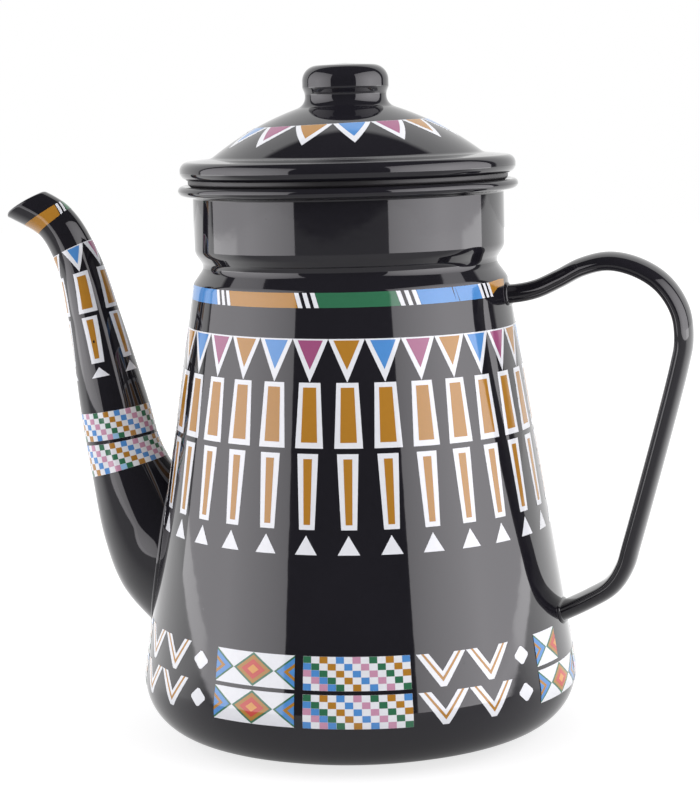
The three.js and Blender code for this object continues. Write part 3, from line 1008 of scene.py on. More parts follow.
def channel_section(half):
    """Half of the channel's outline, from the crease round its back to the middle."""
    points = [(half - CREASE_DEPTH, STRIP_SHEET), (half - CREASE_INSET, STRIP_SHEET + CREASE_RISE)]
    start = STRIP_SHEET + CHANNEL_START
    for step in range(1, CHANNEL_STEPS + 1):
        angle = math.pi / 2 * step / CHANNEL_STEPS
        points.append((half * math.cos(angle), start + (HANDLE_DEPTH - start) * math.sin(angle)))
    return points


def mirrored(points):
    """A half outline made whole, from the right edge round to the left."""
    return points + [(-x, y) for x, y in reversed(points) if abs(x) > ON_AXIS]


def whole_strip(half):
    return mirrored(strip_section(half))


def whole_channel(half):
    return mirrored(channel_section(half))


def whole_handle(half):
    """The outline of both pieces together."""
    return mirrored(strip_section(half)[:-1] + channel_section(half)[1:])


def handle_line(section_point):
    """One line of the handle between the two places where it enters the pot."""
    line = []
    for place, along in HANDLE_PATH:
        x, y = section_point(place.z)
        across = Vector((along.y, -along.x)) * y
        line.append(Vector((place.x + across.x, -x, place.y + across.y)))
    low = crossing(line, lambda p: -outside_pot(p), 0)
    high = crossing(line, outside_pot, HANDLE_SECTIONS // 2)
    return [at_fraction(line, low + (high - low) * i / HANDLE_RINGS) for i in range(HANDLE_RINGS + 1)]


def handle_lines(section_of):
    """A line of the handle for every point of a section."""
    count = len(section_of(ANY_HALF))
    return [handle_line(lambda half, k=k: section_of(half)[k]) for k in range(count)]


def make_handle_piece(name, section_of, creases, node):
    """A closed bar from a section; its facings come from the grid of its own lines."""
    lines = handle_lines(section_of)
    count = len(lines)
    size = HANDLE_RINGS + 1
    points = [tuple(p) for line in lines for p in line]
    edges = []
    for line, after in zip(lines, lines[1:] + lines[:1]):
        row = []
        for i in range(size):
            along = line[min(i + 1, HANDLE_RINGS)] - line[max(i - 1, 0)]
            row.append((after[i] - line[i]).cross(along).normalized())
        edges.append(row)

    def facing(own, other, corner, i):
        """Half way between two edges that meet at a corner, or the edge's own way at a crease."""
        other = own if corner in creases else other
        return tuple((edges[own][i] + edges[other][i]).normalized())

    faces = []
    facings = []
    for k in range(count):
        after = (k + 1) % count
        for i in range(HANDLE_RINGS):
            faces.append([k * size + i, after * size + i, after * size + i + 1, k * size + i + 1])
            facings += [facing(k, k - 1, k, i), facing(k, after, after, i)]
            facings += [facing(k, after, after, i + 1), facing(k, k - 1, k, i + 1)]
    for i in (0, HANDLE_RINGS):
        ring = [k * size + i for k in range(count)]
        if i == 0:
            ring.reverse()
        faces.append(ring)
        corner = [Vector(points[v]) for v in ring]
        cap = (corner[count // 3] - corner[0]).cross(corner[2 * count // 3] - corner[0]).normalized()
        facings += [tuple(cap)] * count
    piece = new_piece(name, points, faces, facings, [0] * len(faces), [BLACK])
    settle(piece, "pot", "black_enamel", node)


STRIP_END = len(strip_section(ANY_HALF))
CHANNEL_END = len(whole_channel(ANY_HALF)) - 1
make_handle_piece("handle_strip_skin", whole_strip, {STRIP_END - 1, STRIP_END}, "handle_strip")
make_handle_piece("handle_channel_skin", whole_channel, {0, CHANNEL_END}, "handle_channel")

# %% [markdown]
# ## The weld beads
# Spout and handle are welded on before the pot is dipped. The weld stays visible as a soft, uneven
# bead under the glass, and the glass also draws into a blunt bead along the cut edge of the mouth. A
# Geometry Nodes tree follows each outline and lets the thickness of the bead wander with a noise.
# %% Weld beads
# Each bead is given by its radius in millimetres, its wander and the seed of its noise.
LIP_BEAD_RADIUS = 1.15
LIP_BEAD_BACK = 0.8
BEADS = {
    "spout_weld_bead": (1.15, 0.7, 3), "handle_low_weld_bead": (0.8, 0.7, 7),
    "handle_high_weld_bead": (0.8, 0.7, 12), "spout_lip_bead": (LIP_BEAD_RADIUS, 0.1, 5),
}
BEAD_SIDES = 16
WANDER_SCALE = 260.0


def bead_tree():
    tree, given = geometry_tree("weld_bead", {
        "Bead Radius": ("Float", 1.0 * MM), "Wander": ("Float", 0.7), "Seed": ("Float", 0.0),
        "Enamel": ("Material", None),
    })
    path = add_node(tree, "GeometryNodeMeshToCurve", {"Mesh": given["Geometry"]}).outputs[0]
    wander = add_node(tree, "ShaderNodeTexNoise", {
        "W": given["Seed"], "Scale": WANDER_SCALE, "Detail": 1.0,
    }, noise_dimensions="4D").outputs[0]
    swing = combine(tree, "MULTIPLY", combine(tree, "SUBTRACT", wander, 0.5), given["Wander"])
    uneven = add_node(tree, "GeometryNodeSetCurveRadius", {
        "Curve": path, "Radius": combine(tree, "ADD", swing, 1.0),
    }).outputs[0]
    profile = add_node(tree, "GeometryNodeCurvePrimitiveCircle", {
        "Resolution": BEAD_SIDES, "Radius": given["Bead Radius"],
    }).outputs[0]
    tube = add_node(tree, "GeometryNodeCurveToMesh", {"Curve": uneven, "Profile Curve": profile})
    return lead_out(tree, coated(tree, tube.outputs[0], given["Enamel"]))


def lip_path():
    """A ring just under the spout's skin, a little back from its mouth."""
    lines = [spout_line(-2 * math.pi * j / SPOUT_LINES, LIP_BEAD_RADIUS) for j in range(SPOUT_LINES)]
    return [line[-1] - (line[-1] - line[-3]).normalized() * LIP_BEAD_BACK for line in lines]


def lay_beads():
    tree = bead_tree()
    handle = handle_lines(whole_handle)
    paths = (
        [line[0] for line in SPOUT_OUTER], [line[0] for line in handle],
        [line[-1] for line in handle], lip_path(),
    )
    for (name, (radius, wander, seed)), path in zip(BEADS.items(), paths):
        mesh = bpy.data.meshes.new(name + "_path")
        mesh.from_pydata([tuple(point * MM) for point in path], [(i - 1, i) for i in range(len(path))], [])
        mesh.edges[0].vertices = (len(path) - 1, 0)
        bead = grown(name, mesh, tree, {
            "Bead Radius": radius * MM, "Wander": wander, "Seed": float(seed), "Enamel": BLACK,
        })
        smooth_and_outwards(bead.data)
        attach(bead, "pot")
        print(name, "faces:", len(bead.data.polygons))


lay_beads()

# %% [markdown]
# ## The lid and its knob
# The lid is pressed in one dome with a nearly flat flange, and its edge is turned down and in.
# A ring under it hangs in the neck, pale like the pot's inside. Its upper part, in the shaded gap under
# the lid's edge, is coloured black as painted shade, and is also made dull as if the rim had rubbed it.
# The hollow knob is welded on and dipped with the lid, so glass fills the corner and the knob seems to grow
# out of the dome.
# %% Lid
DOME_RADIUS = 100.0
DOME_EDGE = (45.6, 195.766)
DOME_SHIFT = -16.0
DOME_CENTRE = (
    DOME_SHIFT, DOME_EDGE[1] - math.sqrt(DOME_RADIUS ** 2 - (DOME_EDGE[0] - DOME_SHIFT) ** 2),
)
LID_RADIUS = 56.2
LID_BOTTOM = 188.8
LID_EDGE_TOP = 194.6
FLANGE_SLOPE = math.atan(0.11)
FLANGE_FILLET = 4.0
LID_SHEET = 1.0
HEM_RADIUS = 52.9
EDGE_FILLETS = (2.7, 2.9)
LID_HOLE = 5.0
DOME_STEP = math.radians(1.2)


def flange_height(radius):
    return LID_EDGE_TOP + (LID_RADIUS - radius) * math.tan(FLANGE_SLOPE)


def make_lid_shell():
    along = Vector((math.cos(FLANGE_SLOPE), -math.sin(FLANGE_SLOPE)))
    above = Vector((-along.y, along.x)) * FLANGE_FILLET
    edge = Vector((LID_RADIUS, LID_EDGE_TOP)) + above
    offset = edge - Vector(DOME_CENTRE)
    lean = offset.dot(along)
    reach = DOME_RADIUS + FLANGE_FILLET
    run = -lean + math.sqrt(lean ** 2 - offset.length_squared + reach ** 2)
    centre = edge + along * run
    from_dome = centre - Vector(DOME_CENTRE)
    dome_angle = math.atan2(from_dome.y, from_dome.x)
    hem = (HEM_RADIUS, flange_height(HEM_RADIUS))
    rim = rounded([
        (HEM_RADIUS, LID_BOTTOM, 0), (LID_RADIUS, LID_BOTTOM, EDGE_FILLETS[0]),
        (LID_RADIUS, LID_EDGE_TOP, EDGE_FILLETS[1]), (*hem, 0),
    ])
    flange = straight(hem, tuple(centre - above))
    start = math.atan2(-above.y, -above.x) % (2 * math.pi)
    valley = bend(tuple(centre), FLANGE_FILLET, start, math.pi + dome_angle)
    top_angle = math.acos((LID_HOLE - DOME_CENTRE[0]) / DOME_RADIUS)
    sheet = flange + valley + bend(DOME_CENTRE, DOME_RADIUS, dome_angle, top_angle, DOME_STEP)
    runs = closed_outline(rim + sheet, inner_side(sheet, LID_SHEET))
    coats = [BLACK if i <= len(rim + sheet) else CREAM for i in range(len(runs))]
    piece = turned("lid_shell_skin", runs, [BLACK, CREAM], coats)
    settle(piece, "lid", "black_enamel", "lid_shell")


make_lid_shell()

# %% Lid skirt
SKIRT_TUBE = MOUTH_RADIUS - 0.9
SKIRT_COLLAR = 53.58
SKIRT_WELD = 47.6
SKIRT_BOTTOM = MOUTH_TOP - 13.5
SKIRT_FILLET = 1.2
SKIRT_GAP = 0.3
SEAT = (51.98, 185.82)
SEAT_RISE = 1.6
PAINTED_SHADE_BELOW_SEAT = 2


def make_lid_skirt():
    tops = [(r, flange_height(r) - LID_SHEET - SKIRT_GAP) for r in (SKIRT_COLLAR, SKIRT_WELD)]
    outside = rounded([
        (SKIRT_TUBE, SKIRT_BOTTOM, 0), (SKIRT_TUBE, SEAT[1] - (SEAT[0] - SKIRT_TUBE), SKIRT_FILLET),
        (SKIRT_COLLAR, SEAT[1] + SEAT_RISE, SKIRT_FILLET), (*tops[0], SKIRT_FILLET), (*tops[1], 0),
    ])
    inside = inner_side(outside, LID_SHEET)
    foot = bend((SKIRT_TUBE - LID_SHEET / 2, SKIRT_BOTTOM), LID_SHEET / 2, -math.pi, 0)
    runs = closed_outline(outside, inside, foot)
    # Above this height the pale skirt is coloured black as painted shade of the gap under the lid; below it,
    # it stays cream.
    painted_shade_from = SEAT[1] - PAINTED_SHADE_BELOW_SEAT
    coats = [PAINTED_SHADE_DULL_BLACK if min(a[1], b[1]) > painted_shade_from else CREAM for a, b, _, _ in runs]
    piece = turned("lid_skirt_skin", runs, [PAINTED_SHADE_DULL_BLACK, CREAM], coats)
    settle(piece, "lid", "pale_enamel", "lid_skirt")


make_lid_skirt()

# %% Knob
# A height with its fillet stands for each corner of the knob's outline.
KNOB_WAIST = 13.62
KNOB_HEAD = 14.42
KNOB_FOOT_FILLET = 4.0
WAIST_TOP = (216.3, 3.0)
HEAD_BOTTOM = (218.3, 2.5)
KNOB_SEAM = 219.6
HEAD_TOP = (225.4, 5.2)
KNOB_TOP = 226.3
KNOB_SHEET = 0.8


def make_knob():
    reach = DOME_RADIUS + KNOB_FOOT_FILLET
    centre_r = KNOB_WAIST + KNOB_FOOT_FILLET
    centre_z = DOME_CENTRE[1] + math.sqrt(reach ** 2 - (centre_r - DOME_CENTRE[0]) ** 2)
    away = math.atan2(centre_z - DOME_CENTRE[1], centre_r - DOME_CENTRE[0])
    foot = bend((centre_r, centre_z), KNOB_FOOT_FILLET, away + math.pi, math.pi)
    stem = foot + rounded([
        (KNOB_WAIST, centre_z, 0), (KNOB_WAIST, *WAIST_TOP),
        (KNOB_HEAD, *HEAD_BOTTOM), (KNOB_HEAD, KNOB_SEAM, 0),
    ])
    stem_runs = closed_outline(stem, inner_side(stem, KNOB_SHEET))
    settle(turned("knob_stem_skin", stem_runs, [BLACK]), "lid", "black_enamel", "knob_stem")
    crown = rounded([(KNOB_HEAD, KNOB_SEAM, 0), (KNOB_HEAD, *HEAD_TOP), (0, KNOB_TOP, 0)])
    hollow = inner_side(crown, KNOB_SHEET)
    hollow[0] = ((0, KNOB_TOP - KNOB_SHEET), *hollow[0][1:])
    cap_runs = closed_outline(crown, hollow)
    settle(turned("knob_cap_skin", cap_runs, [BLACK]), "lid", "black_enamel", "knob_cap")


make_knob()

# %% [markdown]
# ## The transfers
# The coloured pattern is a set of decals: glass colours printed on paper, slid onto the fired
# black coat and fired again. They could be painted as a texture, but real ones stand up from the
# coat by a hair and end in a crisp edge, so each colour is a thin sheet of its own here. A drawing
# is flat: across is an angle in degrees, up is a height in millimetres, and each shape has an ink
# and a layer. A Geometry Nodes tree then wraps the drawing on the pot, the lid or the spout.
# %% Flat drawings
LAYER_STEP = 0.03
FIRST_LIFT = 0.06
SUNK = 0.05
LAYER_SPREAD = 0.01
MERGE_DISTANCE = 1e-6


def shape(drawing, points, ink, layer=0):
    """Add a convex shape, its points counterclockwise."""
    drawing.append((points, ink, layer))


def motif(drawing, x, y, shapes, own_ink=None):
    """Add a list of shapes about a point; a shape without an ink takes the motif's own."""
    for points, ink, layer in shapes:
        shape(drawing, [(x + across, y + up) for across, up in points], ink or own_ink, layer)


def strip(drawing, left, right, low, high, ink, layer=0, step=3.0):
    """Slices between two slanted ends, (bottom x, top x), and two edges, given as functions."""
    count = max(1, math.ceil((right[0] - left[0]) / step))
    for i in range(count):
        (low_a, high_a), (low_b, high_b) = [
            [a + (b - a) * share for a, b in zip(left, right)] for share in (i / count, (i + 1) / count)
        ]
        shape(drawing, [
            (low_a, low(low_a)), (low_b, low(low_b)), (high_b, high(high_b)), (high_a, high(high_a)),
        ], ink, layer)


def oblong(drawing, x0, x1, y0, y1, ink, layer=0, step=3.0):
    """An upright rectangle, cut in slices so that it can bend."""
    strip(drawing, (x0, x0), (x1, x1), lambda x: y0, lambda x: y1, ink, layer, step)


def flat_mesh(name, drawing, start):
    """The drawing as a mesh: angles in radians, heights in metres, one level for each layer."""
    points = []
    faces = []
    for corners, _, layer in drawing:
        faces.append(list(range(len(points), len(points) + len(corners))))
        points += [(math.radians(x + start), y * MM, layer * LAYER_SPREAD) for x, y in corners]
    mesh = bpy.data.meshes.new(name)
    mesh.from_pydata(points, [], faces)
    inks = mesh.attributes.new("ink", "INT", "FACE")
    inks.data.foreach_set("value", [INK_NAMES.index(ink) for _, ink, _ in drawing])
    lifts = mesh.attributes.new("lift", "FLOAT", "FACE")
    lifts.data.foreach_set("value", [(FIRST_LIFT + LAYER_STEP * layer) * MM for _, _, layer in drawing])
    return mesh


# %% Guide skins


def guide_surface(name, lines, facings):
    """An open skin to wrap on: lines of points in millimetres, closed round the first index."""
    size = len(lines[0])
    count = len(lines)
    points = [tuple(v * MM for v in point) for line in lines for point in line]
    faces = [
        (j * size + i, ((j + 1) % count) * size + i, ((j + 1) % count) * size + i + 1, j * size + i + 1)
        for j in range(count) for i in range(size - 1)
    ]
    mesh = bpy.data.meshes.new(name)
    mesh.from_pydata(points, [], faces)
    facing = mesh.attributes.new("facing", "FLOAT_VECTOR", "POINT")
    facing.data.foreach_set("vector", [v for line in facings for f in line for v in f])
    return add_object(name, mesh)


def round_guide(name, runs):
    """The guide skin of a turned outline."""
    profile = [(start, facing) for start, _, facing, _ in runs] + [(runs[-1][1], runs[-1][3])]
    lines, facings = [
        [[spun(item[part], angle) for item in profile] for angle in ROUND_ANGLES] for part in (0, 1)
    ]
    return guide_surface(name, lines, facings)


def centre_line_guide():
    data = bpy.data.curves.new("spout_centre_line", "CURVE")
    data.dimensions = "3D"
    spline = data.splines.new("POLY")
    spline.points.add(len(SPOUT_PATH) - 1)
    for point, (place, _) in zip(spline.points, SPOUT_PATH):
        point.co = (-place.x * MM, 0, place.y * MM, 1)
    return add_object("spout_centre_line", data)


DOME_REACH = (math.radians(52.5), math.radians(76), math.radians(1.0))
POT_GUIDE = round_guide("pot_guide", rounded([
    (REST_RADIUS, 0, 0), HEEL, (*CONE_TOP, SHOULDER_FILLET), (*GROOVE, 0),
]))
LID_GUIDE = round_guide("lid_guide", bend(DOME_CENTRE, DOME_RADIUS, *DOME_REACH))
SPOUT_GUIDE = guide_surface("spout_guide", SPOUT_OUTER, grid_facings(SPOUT_OUTER))
SPOUT_LINE = centre_line_guide()

# %% [markdown]
# ## The wrapping tree
# The tree repeats the flat drawing round the pot, sends a ray from the axis through each point to
# find the skin, and notes which way the skin faces there. The sheet is then sunk a little, raised
# to its own layer, closed underneath, and given its ink.
# %% Wrapping tree
RAY_START = 0.3


def rays_from_axis(tree, across, up):
    """Level rays from the pot's axis."""
    source = add_node(tree, "ShaderNodeCombineXYZ", {"Z": up}).outputs[0]
    way = add_node(tree, "ShaderNodeCombineXYZ", {
        "X": combine(tree, "COSINE", across), "Y": combine(tree, "SINE", across),
    }).outputs[0]
    return source, way


def rays_from_above(tree, across, up):
    """Falling rays over the dome, where the drawing's height is a radius."""
    source = add_node(tree, "ShaderNodeCombineXYZ", {
        "X": combine(tree, "MULTIPLY", combine(tree, "COSINE", across), up),
        "Y": combine(tree, "MULTIPLY", combine(tree, "SINE", across), up),
        "Z": RAY_START,
    }).outputs[0]
    return source, add_node(tree, "ShaderNodeCombineXYZ", {"Z": -1.0}).outputs[0]


def rays_from_centre_line(tree, across, up):
    """Rays square to the spout's centre line, where the drawing's height is the length along it."""
    line = add_node(tree, "GeometryNodeObjectInfo", {"Object": SPOUT_LINE}).outputs["Geometry"]
    sample = add_node(tree, "GeometryNodeSampleCurve", {"Curves": line, "Length": up}, mode="LENGTH")
    across_y = add_node(tree, "ShaderNodeCombineXYZ", {"Y": 1.0}).outputs[0]
    inwards = combine_vectors(tree, "CROSS_PRODUCT", across_y, sample.outputs["Tangent"])
    near = scale_vector(tree, across_y, combine(tree, "MULTIPLY", combine(tree, "COSINE", across), -1.0))
    side = scale_vector(tree, inwards, combine(tree, "SINE", across))
    return sample.outputs["Position"], combine_vectors(tree, "ADD", near, side)


def named(tree, name, kind):
    """An attribute kept on the mesh, as one output socket."""
    return add_node(tree, "GeometryNodeInputNamedAttribute", {"Name": name}, data_type=kind).outputs[0]


def merged(tree, geometry):
    return add_node(tree, "GeometryNodeMergeByDistance", {
        "Geometry": geometry, "Distance": MERGE_DISTANCE,
    }).outputs[0]


def laid_round(tree, given):
    """The flat drawing, cut finer and copied along its first axis."""
    fine = add_node(tree, "GeometryNodeSubdivideMesh", {
        "Mesh": given["Geometry"], "Level": given["Detail"],
    }).outputs[0]
    step = add_node(tree, "ShaderNodeCombineXYZ", {"X": given["Step"]}).outputs[0]
    line = add_node(tree, "GeometryNodeMeshLine", {"Count": given["Copies"], "Offset": step}).outputs[0]
    placed = add_node(tree, "GeometryNodeInstanceOnPoints", {
        "Points": line, "Instance": merged(tree, fine),
    }).outputs[0]
    return add_node(tree, "GeometryNodeRealizeInstances", {"Geometry": placed}).outputs[0]


def wrapped(tree, given, geometry, rays):
    """Each point moved along its ray to just under the skin, with the skin's facing noted."""
    where = add_node(tree, "GeometryNodeInputPosition").outputs[0]
    flat = add_node(tree, "ShaderNodeSeparateXYZ", {0: where}).outputs
    swing = combine(tree, "COSINE", combine(tree, "SUBTRACT", flat["X"], given["Fall Turn"]))
    up = combine(tree, "SUBTRACT", flat["Y"], combine(tree, "MULTIPLY", swing, given["Fall"]))
    source, way = rays(tree, flat["X"], up)
    skin = add_node(tree, "GeometryNodeObjectInfo", {"Object": given["Skin"]}).outputs["Geometry"]
    ray = add_node(tree, "GeometryNodeRaycast", {
        "Target Geometry": skin, "Attribute": named(tree, "facing", "FLOAT_VECTOR"),
        "Source Position": source, "Ray Direction": way, "Ray Length": 1.0,
    }, data_type="FLOAT_VECTOR").outputs
    facing = combine_vectors(tree, "NORMALIZE", ray["Attribute"], (0, 0, 0))
    noted = add_node(tree, "GeometryNodeStoreNamedAttribute", {
        "Geometry": geometry, "Name": "facing", "Value": facing,
    }, data_type="FLOAT_VECTOR", domain="POINT").outputs[0]
    low = combine_vectors(tree, "SUBTRACT", ray["Hit Position"], scale_vector(tree, facing, SUNK * MM))
    return add_node(tree, "GeometryNodeSetPosition", {"Geometry": noted, "Position": low}).outputs[0]


def raised(tree, base):
    """The sheet raised to its layer and closed underneath."""
    extruded = add_node(tree, "GeometryNodeExtrudeMesh", {
        "Mesh": base, "Offset Scale": 0.0, "Individual": False,
    }).outputs
    height = combine(tree, "ADD", named(tree, "lift", "FLOAT"), SUNK * MM)
    top = add_node(tree, "GeometryNodeSetPosition", {
        "Geometry": extruded["Mesh"], "Selection": extruded["Top"],
        "Offset": scale_vector(tree, named(tree, "facing", "FLOAT_VECTOR"), height),
    }).outputs[0]
    under = add_node(tree, "GeometryNodeFlipFaces", {"Mesh": base}).outputs[0]
    both = tree.nodes.new("GeometryNodeJoinGeometry")
    for part in (top, under):
        tree.links.new(part, both.inputs[0])
    joined = merged(tree, both.outputs[0])
    return add_node(tree, "GeometryNodeRealizeInstances", {"Geometry": joined}).outputs[0]


def wrap_tree(name, rays):
    tree, given = geometry_tree(name, {
        "Skin": ("Object", None), "Copies": ("Int", 1), "Step": ("Float", 0.0), "Detail": ("Int", 1),
        "Fall": ("Float", 0.0), "Fall Turn": ("Float", 0.0),
    })
    done = raised(tree, wrapped(tree, given, laid_round(tree, given), rays))
    ink = named(tree, "ink", "INT")
    for number, ink_name in enumerate(INK_NAMES):
        same = add_node(tree, "FunctionNodeCompare", {2: ink, 3: number}, data_type="INT", operation="EQUAL")
        done = add_node(tree, "GeometryNodeSetMaterial", {
            "Geometry": done, "Selection": same.outputs[0], "Material": INKS[ink_name],
        }).outputs[0]
    return lead_out(tree, done)


WRAPS = {
    "pot": (wrap_tree("wrap_on_pot", rays_from_axis), POT_GUIDE),
    "dome": (wrap_tree("wrap_on_dome", rays_from_above), LID_GUIDE),
    "spout": (wrap_tree("wrap_on_spout", rays_from_centre_line), SPOUT_GUIDE),
}


def lay_transfer(name, drawing, on, body, start=0.0, copies=1, step=0.0, detail=1, fall=0.0, fall_turn=0.0):
    """Wrap a drawing, from start degrees on, and let it ride on its body."""
    tree, guide = WRAPS[on]
    piece = grown(name, flat_mesh(name + "_flat", drawing, start), tree, {
        "Skin": guide, "Copies": copies, "Step": math.radians(step), "Detail": detail,
        "Fall": fall * MM, "Fall Turn": math.radians(fall_turn),
    })
    mesh = piece.data
    smooth_and_outwards(mesh)
    facings = [tuple(item.vector) for item in mesh.attributes["facing"].data]
    mesh.normals_split_custom_set_from_vertices(facings)
    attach(piece, body)
    print(name, "faces:", len(mesh.polygons))


# %% [markdown]
# ## The columns round the cone
# Thirty columns hang from a row of triangles: a triangle, two bars that narrow towards each
# other, and a small white triangle below. Triangles go ochre, blue, magenta and again, so three
# columns are drawn and the tree repeats them ten times. The ring was laid on a little askew,
# lower towards the handle.
# %% Columns
COLUMN_STEP = 12
COLUMN_COPIES = 10
COLUMN_START = -78.85
TRIANGLE_INKS = ("ochre", "blue", "magenta")
POT_FALL = 0.73
POT_FALL_TURN = 13
COLUMN = (
    (((0, 125.95), (5.98, 139.5), (-5.98, 139.5)), "white", 0),
    (((0, 129.9), (4.25, 139.05), (-4.25, 139.05)), None, 1),
    (((-4.29, 105.4), (4.29, 105.4), (3.47, 125.85), (-3.47, 125.85)), "white", 0),
    (((-2.5, 107.2), (2.5, 107.2), (2.1, 124.35), (-2.1, 124.35)), "ochre", 1),
    (((-2.58, 80.1), (1.88, 80.1), (2.83, 103.7), (-3.53, 103.7)), "white", 0),
    (((-1.3, 81.65), (0.6, 81.65), (0.98, 102.1), (-1.68, 102.1)), "ochre", 1),
    (((-3.65, 72.3), (2.55, 72.3), (-0.55, 78.35)), "white", 0),
)


def lay_columns():
    drawing = []
    for number, ink in enumerate(TRIANGLE_INKS):
        motif(drawing, number * COLUMN_STEP, 0, COLUMN, ink)
    lay_transfer(
        "column_transfers", drawing, "pot", "pot", start=COLUMN_START, copies=COLUMN_COPIES,
        step=len(TRIANGLE_INKS) * COLUMN_STEP, detail=2, fall=POT_FALL, fall_turn=POT_FALL_TURN,
    )


lay_columns()

# %% [markdown]
# ## The band under the shoulder
# A band of slanted colour fields runs just under the shoulder. Between two fields stand three
# white strokes. It was laid in one length, so it is torn at the handle and open at the back.
# %% Shoulder band
BAND_LOW = 149.55
BAND_HIGH = 154.25
BAND_SLANT = 1.6
BAND_PERIOD = 35.4
BAND_STROKES = ((0, 1.6), (2.9, 4.45), (5.7, 7.3))
BAND_FIELDS = ("blue", "ochre", "green")
BAND_START = -167.64
BAND_COUNT = 10
BAND_GAP = 0.12
BAND_FALL = 0.3
BAND_FALL_TURN = -55
TORN_FIELD = 4
TEAR_END = -39.6
TEAR_RESUMED = -37.9
TEAR_SLIVER = ((-38.0, BAND_LOW), (-36.6, BAND_LOW), (-38.0, BAND_HIGH), (-39.0, BAND_HIGH))
TORN_LOW = ((-18.5, 149.9), (-12.6, 152.0), (-5.0, 152.3))
TORN_HIGH = ((-19.3, 154.2), (-9.6, 154.6), (-4.1, 154.3))


def band_field(drawing, start, end, ink):
    strip(
        drawing, (start + BAND_SLANT, start), (end + BAND_SLANT, end),
        lambda x: BAND_LOW, lambda x: BAND_HIGH, ink,
    )


def lay_band():
    drawing = []
    for number in range(BAND_COUNT):
        start = BAND_START + number * BAND_PERIOD
        ink = BAND_FIELDS[number % len(BAND_FIELDS)]
        for left, right in BAND_STROKES:
            band_field(drawing, start + left, start + right, "white")
        first, last = start + BAND_STROKES[-1][1] + BAND_GAP, start + BAND_PERIOD - BAND_GAP
        if number == TORN_FIELD:
            for i in range(len(TORN_LOW) - 1):
                shape(drawing, [TORN_LOW[i], TORN_LOW[i + 1], TORN_HIGH[i + 1], TORN_HIGH[i]], ink)
        elif number == TORN_FIELD - 1:
            band_field(drawing, first, TEAR_END, ink)
            shape(drawing, TEAR_SLIVER, ink)
            band_field(drawing, TEAR_RESUMED, last, ink)
        else:
            band_field(drawing, first, last, ink)
    lay_transfer(
        "shoulder_band_transfer", drawing, "pot", "pot", detail=2, fall=BAND_FALL, fall_turn=BAND_FALL_TURN,
    )


lay_band()

# %% [markdown]
# ## The two rows above the heel
# Each row repeats a panel with a diamond, a checker, a pair of chevrons and a small diamond. A
# unit of the two rows is drawn from parts. The unit at the handle lost half its panel and a part
# of its checker to the handle's root, and the last unit at the back has no room for its diamond.
# %% Row units
ROW_BOTTOMS = (30.35, 18.45)
ROW_HEIGHT = 10.6
ROW_PERIOD = 92.4
ROW_START = -117.0
PANEL_WIDTH = 23.1
PANEL_REACH = 5.85
DIAMOND_LAYERS = ((1.0, "green"), (0.85, "ochre"), (0.6, "red"), (0.28, "orange"))
SIDE_LAYERS = ((0.99, "green"), (0.86, "blue"), (0.52, "ochre"), (0.3, "blue"))
CHECK_START = 25.3
CHECK_COLUMNS = 13
CHECK_ROWS = 5
CHECK_PITCH = 27.4 / CHECK_COLUMNS
CHECK_INKS = {
    0: "green", 2: "ochre", 4: "blue", 6: "pink", 8: "green", 10: "ochre", 12: "blue",
    -1: "blue", -2: "pink", -4: "blue",
}
TORN_CHECKS = 5
CHEVRON_STARTS = (54.27, 68.22)
CHEVRON_TOP = ROW_HEIGHT - 0.1
CHEVRON = (
    (((6.0, 0), (6.82, 0), (6.82, 4.7), (3.35, CHEVRON_TOP), (0, CHEVRON_TOP)), "white", 0),
    (((6.82, 0), (7.64, 0), (13.7, CHEVRON_TOP), (10.5, CHEVRON_TOP), (6.82, 4.7)), "white", 0),
    (((6.82, 1.5), (6.82, 2.9), (2.05, CHEVRON_TOP), (1.35, CHEVRON_TOP)), "ochre", 1),
    (((6.82, 1.5), (12.4, CHEVRON_TOP), (11.7, CHEVRON_TOP), (6.82, 2.9)), "ochre", 1),
)
SMALL_DIAMOND_AT = 86.4
SMALL_DIAMOND_HALF = 2.7
SMALL_DIAMOND_RISE = 2.97
CUT_DIAMOND = (
    (-0.14, -0.96), (0.14, -0.96), (0.96, -0.14), (0.96, 0.14),
    (0.14, 0.96), (-0.14, 0.96), (-0.96, 0.14), (-0.96, -0.14),
)
HAIR = 0.03
LONG_SLICE = 6
ROW_FALL = 0.87


def panel(drawing, low, whole):
    """A white field with a diamond and two side triangles, or only its left half."""
    middle = low + ROW_HEIGHT / 2
    centre = PANEL_WIDTH / 2
    oblong(drawing, 0, PANEL_WIDTH if whole else centre, low, low + ROW_HEIGHT, "white", 0, LONG_SLICE)
    for layer, (size, ink) in enumerate(DIAMOND_LAYERS, 1):
        half, rise = PANEL_REACH * size, ROW_HEIGHT / 2 * size
        right = [(centre + half, middle)] if whole else []
        shape(drawing, [
            (centre, middle - rise), *right, (centre, middle + rise), (centre - half, middle),
        ], ink, layer)
    for layer, (size, ink) in enumerate(SIDE_LAYERS, 1):
        tip, rise = (centre - PANEL_REACH) * size - HAIR, ROW_HEIGHT / 2 * size
        low_y, high_y = middle - rise, middle + rise
        shape(drawing, [(0, low_y), (tip, middle), (0, high_y)], ink, layer)
        if whole:
            shape(drawing, [
                (PANEL_WIDTH, low_y), (PANEL_WIDTH, high_y), (PANEL_WIDTH - tip, middle),
            ], ink, layer)


def checker_ground(drawing, low, first):
    start, end = [CHECK_START + number * CHECK_PITCH for number in (first, CHECK_COLUMNS)]
    oblong(drawing, start, end, low, low + ROW_HEIGHT, "white", 0, LONG_SLICE)


def checker_cells(drawing, low, first):
    height = ROW_HEIGHT / CHECK_ROWS
    for row in range(CHECK_ROWS):
        for number in range(first, CHECK_COLUMNS):
            ink = CHECK_INKS.get(number - row)
            if ink:
                x = CHECK_START + number * CHECK_PITCH
                y = low + ROW_HEIGHT - (row + 1) * height
                oblong(drawing, x + HAIR, x + CHECK_PITCH - HAIR, y + HAIR, y + height - HAIR, ink, 1)


